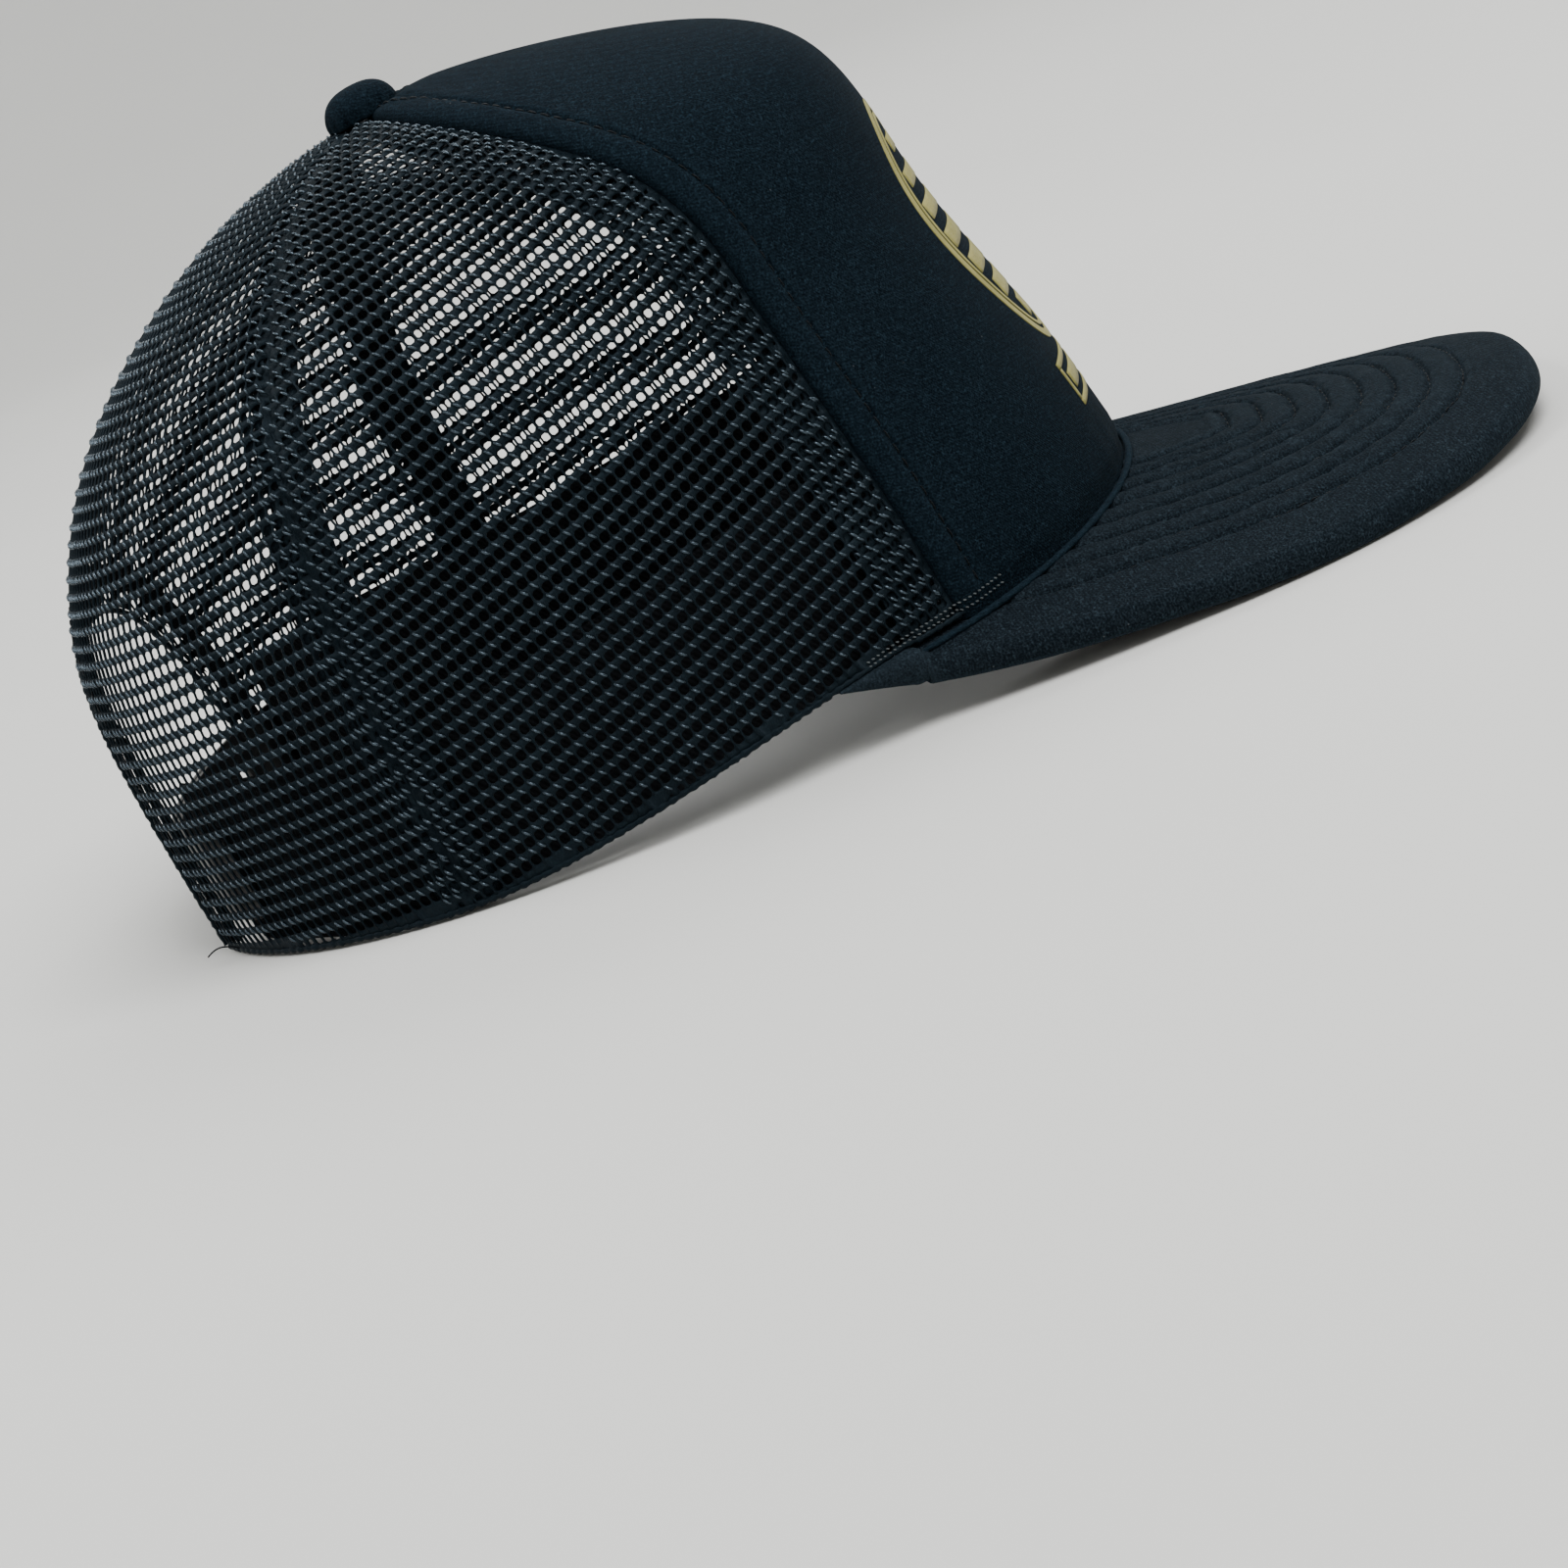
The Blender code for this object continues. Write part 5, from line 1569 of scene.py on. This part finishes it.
def tab_path(side, wall_depth, depth):
    """Centre line of a strap's sewn end, from its tip to the living hinge."""
    turns = np.radians(np.linspace(TAB_START_TURN, TAB_END_TURN, 6))
    standing = crown(turns, TAB_RISE)
    wall = np.stack([standing[:, 0], level_y(standing)], -1)
    out = rim_normal(turns)
    place = wall - out * wall_depth
    place[:, 0] *= -side
    out[:, 0] *= -side
    x = side * np.array([STRAP_HINGE_X + 2.2, STRAP_HINGE_X + 0.9])
    end, end_out = strap_arc(x, np.full(2, depth))
    return np.concatenate([place, end]), np.concatenate([out, end_out])


def level_y(standing):
    """The level frame's y of standing points that lie on the crown."""
    c, s = math.cos(REST_TILT), math.sin(REST_TILT)
    lift = RIM_HALF_LENGTH * s - REAR_RIM_RISE * c
    return (standing[:, 1] - CENTRE_SHIFT) * c - (standing[:, 2] - lift) * s


def tip_half(x, side):
    """Half height of the strap near its rounded tip."""
    length = STRAP_HALF * 0.7
    into = np.clip((-STRAP_TIP_X - side * x + length) / length, 0.0, 1.0)
    return STRAP_HALF * (0.45 + 0.55 * np.sqrt(np.maximum(1.0 - into ** 2, 0.0)))


def block_rings():
    """Rings of points of one block of strap, from its outline in to its hole."""
    half = SNAP_PITCH / 2
    right = np.stack([np.full(SIDE_POINTS, half), STRAP_HEIGHTS], -1)
    top = np.stack([np.linspace(half, -half, TIP_STEPS + 2)[1:-1],
                    np.full(TIP_STEPS, STRAP_HALF)], -1)
    outline = np.concatenate([right, top, -right, -top])
    angle = np.arctan2(outline[:, 1], outline[:, 0])
    circle = np.stack([np.cos(angle), np.sin(angle)], -1)
    return [outline] + [circle * (HOLE_RADIUS + wider) for wider in COLLAR_WIDTHS]


def hole_strap_shape():
    """The outer strap: a tab, a living hinge and a row of collared holes."""
    depth = STRAP_THICKNESS + GAP
    shape = Shape()
    rings = block_rings()
    count = len(rings[0])
    for i in range(SNAP_COUNT):
        centre = FIRST_HOLE_X + SNAP_PITCH * i
        layers = []
        for face in (1.0, -1.0):
            for ring, collar in zip(rings, COLLAR_RISES):
                x, z = centre + ring[:, 0], ring[:, 1]
                if ring is rings[0]:
                    z = z * tip_half(x, 1.0) / STRAP_HALF
                lift = collar if face > 0 else min(collar, 0.0)
                place, _ = strap_arc(x, depth + face * (STRAP_THICKNESS / 2 + lift))
                layers.append(stand_plan(place, STRAP_MIDDLE + z))
        faces = []
        for a, b in ((0, 1), (1, 2), (2, 3), (3, 7), (7, 6), (6, 5), (5, 4)):
            faces += [(a * count + k, a * count + n, b * count + n, b * count + k)
                      for k, n in round_pairs(count)]
        tip = SIDE_POINTS + TIP_STEPS
        walls = [*range(SIDE_POINTS - 1, tip), *range(tip + SIDE_POINTS - 1, count)]
        if i == 0:
            walls += range(tip, tip + SIDE_POINTS - 1)
        for k in walls:
            n = (k + 1) % count
            faces.append((4 * count + k, 4 * count + n, n, k))
        shape.add(np.concatenate(layers), faces)
    inner_x = FIRST_HOLE_X + SNAP_PITCH * (SNAP_COUNT - 0.5)
    x = np.concatenate([[inner_x], HINGE_STATIONS])
    shape.add(*strap_run(x, 1.0, depth, HOLE_TAB_DEPTH, open_start=True))
    return shape


def strap_run(x, side, depth, wall_depth, open_start=False):
    """A plain length of strap through the living hinge and out to the end of its tab."""
    place, out = strap_arc(x, np.full(len(x), depth))
    tab, tab_out = tab_path(side, wall_depth, depth)
    place = np.concatenate([place, tab[::-1]])
    out = np.concatenate([out, tab_out[::-1]])
    stations = np.concatenate([x, np.full(len(tab), side * 99.0)])
    neck = 1.0 - (1.0 - HINGE_NECK) * bell(np.abs(stations) - STRAP_HINGE_X, 0.5)
    half = np.where(np.abs(stations) > 90.0, STRAP_HALF, tip_half(stations, side))
    half[-1] *= 0.86
    thick = (STRAP_THICKNESS / 2 * neck)[:, None]
    z = STRAP_MIDDLE + half[:, None] * (STRAP_HEIGHTS / STRAP_HALF)[None]
    grids = []
    for face in (1.0, -1.0):
        plan = place + out * thick * face
        grids.append(stand_plan(np.repeat(plan[:, None], SIDE_POINTS, 1), z))
    points, faces = sheet(*grids)
    if open_start:
        other = len(place) * SIDE_POINTS
        start = {*range(SIDE_POINTS), *range(other, other + SIDE_POINTS)}
        faces = [face for face in faces if not set(face) <= start]
    return points, faces


def peg_strap_shape():
    """The inner strap: a tab, a living hinge and a plain tongue that carries the pegs."""
    tongue = np.linspace(27.0, -35.0, 32)[4:]
    rounded = STRAP_TIP_X - 6.3 * (1.0 - np.sin(np.linspace(0.0, math.pi / 2, 9)))
    x = np.concatenate([rounded[::-1], tongue, -HINGE_STATIONS])
    return Shape().add(*strap_run(x, -1.0, 0.0, PEG_TAB_DEPTH))


def add_pegs(shape):
    """Mushroom pegs that stand outwards through the other strap's holes."""
    angles = np.arange(PEG_SIDES) * 2.0 * math.pi / PEG_SIDES
    for i in range(SNAP_COUNT):
        x = FIRST_PEG_X + SNAP_PITCH * i
        base, out = strap_arc(np.array(x), 0.0)
        across = np.array([out[1], -out[0]])
        rings = []
        for radius, height in PEG_PROFILE:
            plan = base + out * height + across * (radius * np.cos(angles))[:, None]
            rings.append(stand_plan(plan, STRAP_MIDDLE + radius * np.sin(angles)))
        shape.add(np.concatenate(rings), tube_faces(len(PEG_PROFILE), PEG_SIDES))


def add_border(shape, depth):
    """The raised rim moulded along a strap's long edges, on its outer face."""
    x = np.linspace(BORDER_START, BORDER_END, 40)
    place, out = strap_arc(x, depth + STRAP_THICKNESS / 2 + 0.02)
    for edge in (-1.0, 1.0):
        path = stand_plan(place, STRAP_MIDDLE + edge * (STRAP_HALF - BORDER_INSET))
        shape.add(*sweep(path, stand_out(out), round_profile(*BORDER_ROUND)))


def finish_strap(item):
    """Weld the blocks and round the edges."""
    face_outwards(item.data, weld=WELD)
    bevel = item.modifiers.new("rounded_edges", "BEVEL")
    bevel.width = STRAP_EDGE
    bevel.segments = 2
    bevel.limit_method = "ANGLE"
    bevel.angle_limit = math.radians(50.0)
    bevel.harden_normals = True
    view = bpy.context.evaluated_depsgraph_get()
    final = bpy.data.meshes.new_from_object(item.evaluated_get(view))
    item.modifiers.clear()
    item.data = final


def build_closure():
    """The two straps, each one moulding with its tab, and the details on their outer faces."""
    for name, side, depth, shape in (("hole_strap", 1.0, STRAP_THICKNESS + GAP,
                                      hole_strap_shape()),
                                     ("peg_strap", -1.0, 0.0, peg_strap_shape())):
        item = build(name + "_moulding", shape, PLASTIC, "strap_plastic", name,
                     name + "_tab", body=None)
        finish_strap(item)
        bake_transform(item)
        detail = Shape()
        if side < 0:
            add_pegs(detail)
            build("snap_pegs", detail, PLASTIC, "strap_plastic", body=name, sharp=40.0)
        else:
            add_border(detail, depth)
            build("strap_border", detail, PLASTIC, "strap_plastic", body=name)


# ---------------------------------------------------------------- stage, light and camera

FLOOR_RADIUS = 1.3             # the studio's flat floor, in metres
FLOOR_BEND = 0.9
FLOOR_HEIGHT = -0.0004         # a hair below the cap, so that no faces coincide
WALL_TOP = 2.4


def build_stage():
    """A round, pale, seamless studio: a flat floor that curves up into a wall."""
    bend = [math.pi / 2 * k / 12 for k in range(1, 13)]
    profile = [(0.7, 0.0), (FLOOR_RADIUS, 0.0)]
    profile += [(FLOOR_RADIUS + FLOOR_BEND * math.sin(a), FLOOR_BEND * (1.0 - math.cos(a)))
                for a in bend]
    profile.append((FLOOR_RADIUS + FLOOR_BEND, WALL_TOP))
    sides = 96
    angles = [2.0 * math.pi * k / sides for k in range(sides)]
    points = [(0.0, 0.0, FLOOR_HEIGHT)]
    points += [(radius * math.cos(a), radius * math.sin(a), height + FLOOR_HEIGHT)
               for radius, height in profile for a in angles]
    turned = round_pairs(sides)
    faces = [(0, 1 + k, 1 + n) for k, n in turned]
    for a in range(1, 1 + (len(profile) - 1) * sides, sides):
        faces += [(a + k, a + sides + k, a + sides + n, a + n) for k, n in turned]
    mesh = bpy.data.meshes.new("studio_floor")
    mesh.from_pydata(points, [], faces)
    mesh.shade_smooth()
    floor = add_object("studio_floor", mesh)
    look = Look("studio_paper", roughness=0.9, specular=0.1)
    look.colour(look.mix(look.noise(0.004, 2.0), (0.62, 0.62, 0.60), (0.66, 0.66, 0.64)))
    mesh.materials.append(look.material)


def add_light(name, place, aim, size, power):
    """A rectangular soft box. Places are in metres, powers in watts."""
    lamp = bpy.data.lights.new(name, "AREA")
    lamp.shape = "RECTANGLE"
    lamp.size, lamp.size_y = size
    lamp.energy = power
    item = add_object(name, lamp)
    item.location = place
    item.rotation_euler = (Vector(aim) - Vector(place)).to_track_quat("-Z", "Y").to_euler()


LAMPS = (("key_light", (-0.5, -0.5, 1.5), (0.0, 0.0, 0.06), (1.1, 1.1), 36.0),
         ("rear_light", (0.1, 1.1, 1.2), (0.0, 0.05, 0.08), (1.0, 0.7), 14.0),
         ("far_light", (1.1, -0.3, 1.3), (0.0, 0.0, 0.06), (1.2, 0.8), 12.0))
AIR_COLOUR = (0.95, 0.97, 1.0, 1.0)
AIR_STRENGTH = 0.44


def build_lights():
    """Three soft boxes and a dim, even surround."""
    for lamp in LAMPS:
        add_light(*lamp)
    world = bpy.data.worlds.new("studio_air")
    world.use_nodes = True
    back = world.node_tree.nodes["Background"]
    back.inputs["Color"].default_value = AIR_COLOUR
    back.inputs["Strength"].default_value = AIR_STRENGTH
    bpy.context.scene.world = world


# The camera looks at the wearer's right side, a little from behind and above, and is rolled
# by as much as the cap was tilted back on the head. Angles are taken in the level frame.
CAMERA_YAW = math.radians(8.22)
CAMERA_PITCH = math.radians(14.32)
CAMERA_ROLL = math.radians(29.0)
CAMERA_AIM = (-19.9, -14.1, -25.1)
CAMERA_DISTANCE = 726.8
CAMERA_LENS = 86.05


def build_camera():
    """The photograph's camera."""
    cp, sp = math.cos(CAMERA_PITCH), math.sin(CAMERA_PITCH)
    forward = np.array([cp * math.cos(CAMERA_YAW), cp * math.sin(CAMERA_YAW), -sp])
    right = unit(np.cross(forward, np.array([0.0, 0.0, 1.0])))
    down = np.cross(forward, right)
    c, s = math.cos(CAMERA_ROLL), math.sin(CAMERA_ROLL)
    across = c * right + s * down
    below = -s * right + c * down
    place = stand(np.array(CAMERA_AIM) - forward * CAMERA_DISTANCE) * MM
    axes = stand_turn(np.stack([across, -below, -forward]))
    matrix = Matrix([list(axes[:, k]) + [place[k]] for k in range(3)] + [[0.0, 0.0, 0.0, 1.0]])
    data = bpy.data.cameras.new("camera")
    data.lens = CAMERA_LENS
    data.sensor_width = 36.0
    data.clip_start, data.clip_end = 0.01, 20.0
    item = add_object("camera", data)
    item.matrix_world = matrix
    bpy.context.scene.camera = item


def finish_cad_nodes():
    """Looks for the CAD nodes that are shown as they are."""
    for node, material in (("visor_board", BOARD), ("button_shell", SHELL_STEEL),
                           ("button_rivet", RIVET_STEEL)):
        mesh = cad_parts[node].data
        mesh.materials.clear()
        mesh.materials.append(material)


build_front()
build_topstitch()
build_print()
build_net()
build_net_allowances()
build_net_edges()
build_tapes()
build_sweatband()
build_visor()
build_visor_ends()
build_visor_stitches()
build_welt()
build_button()
build_closure()
finish_cad_nodes()
build_stage()
build_lights()
build_camera()
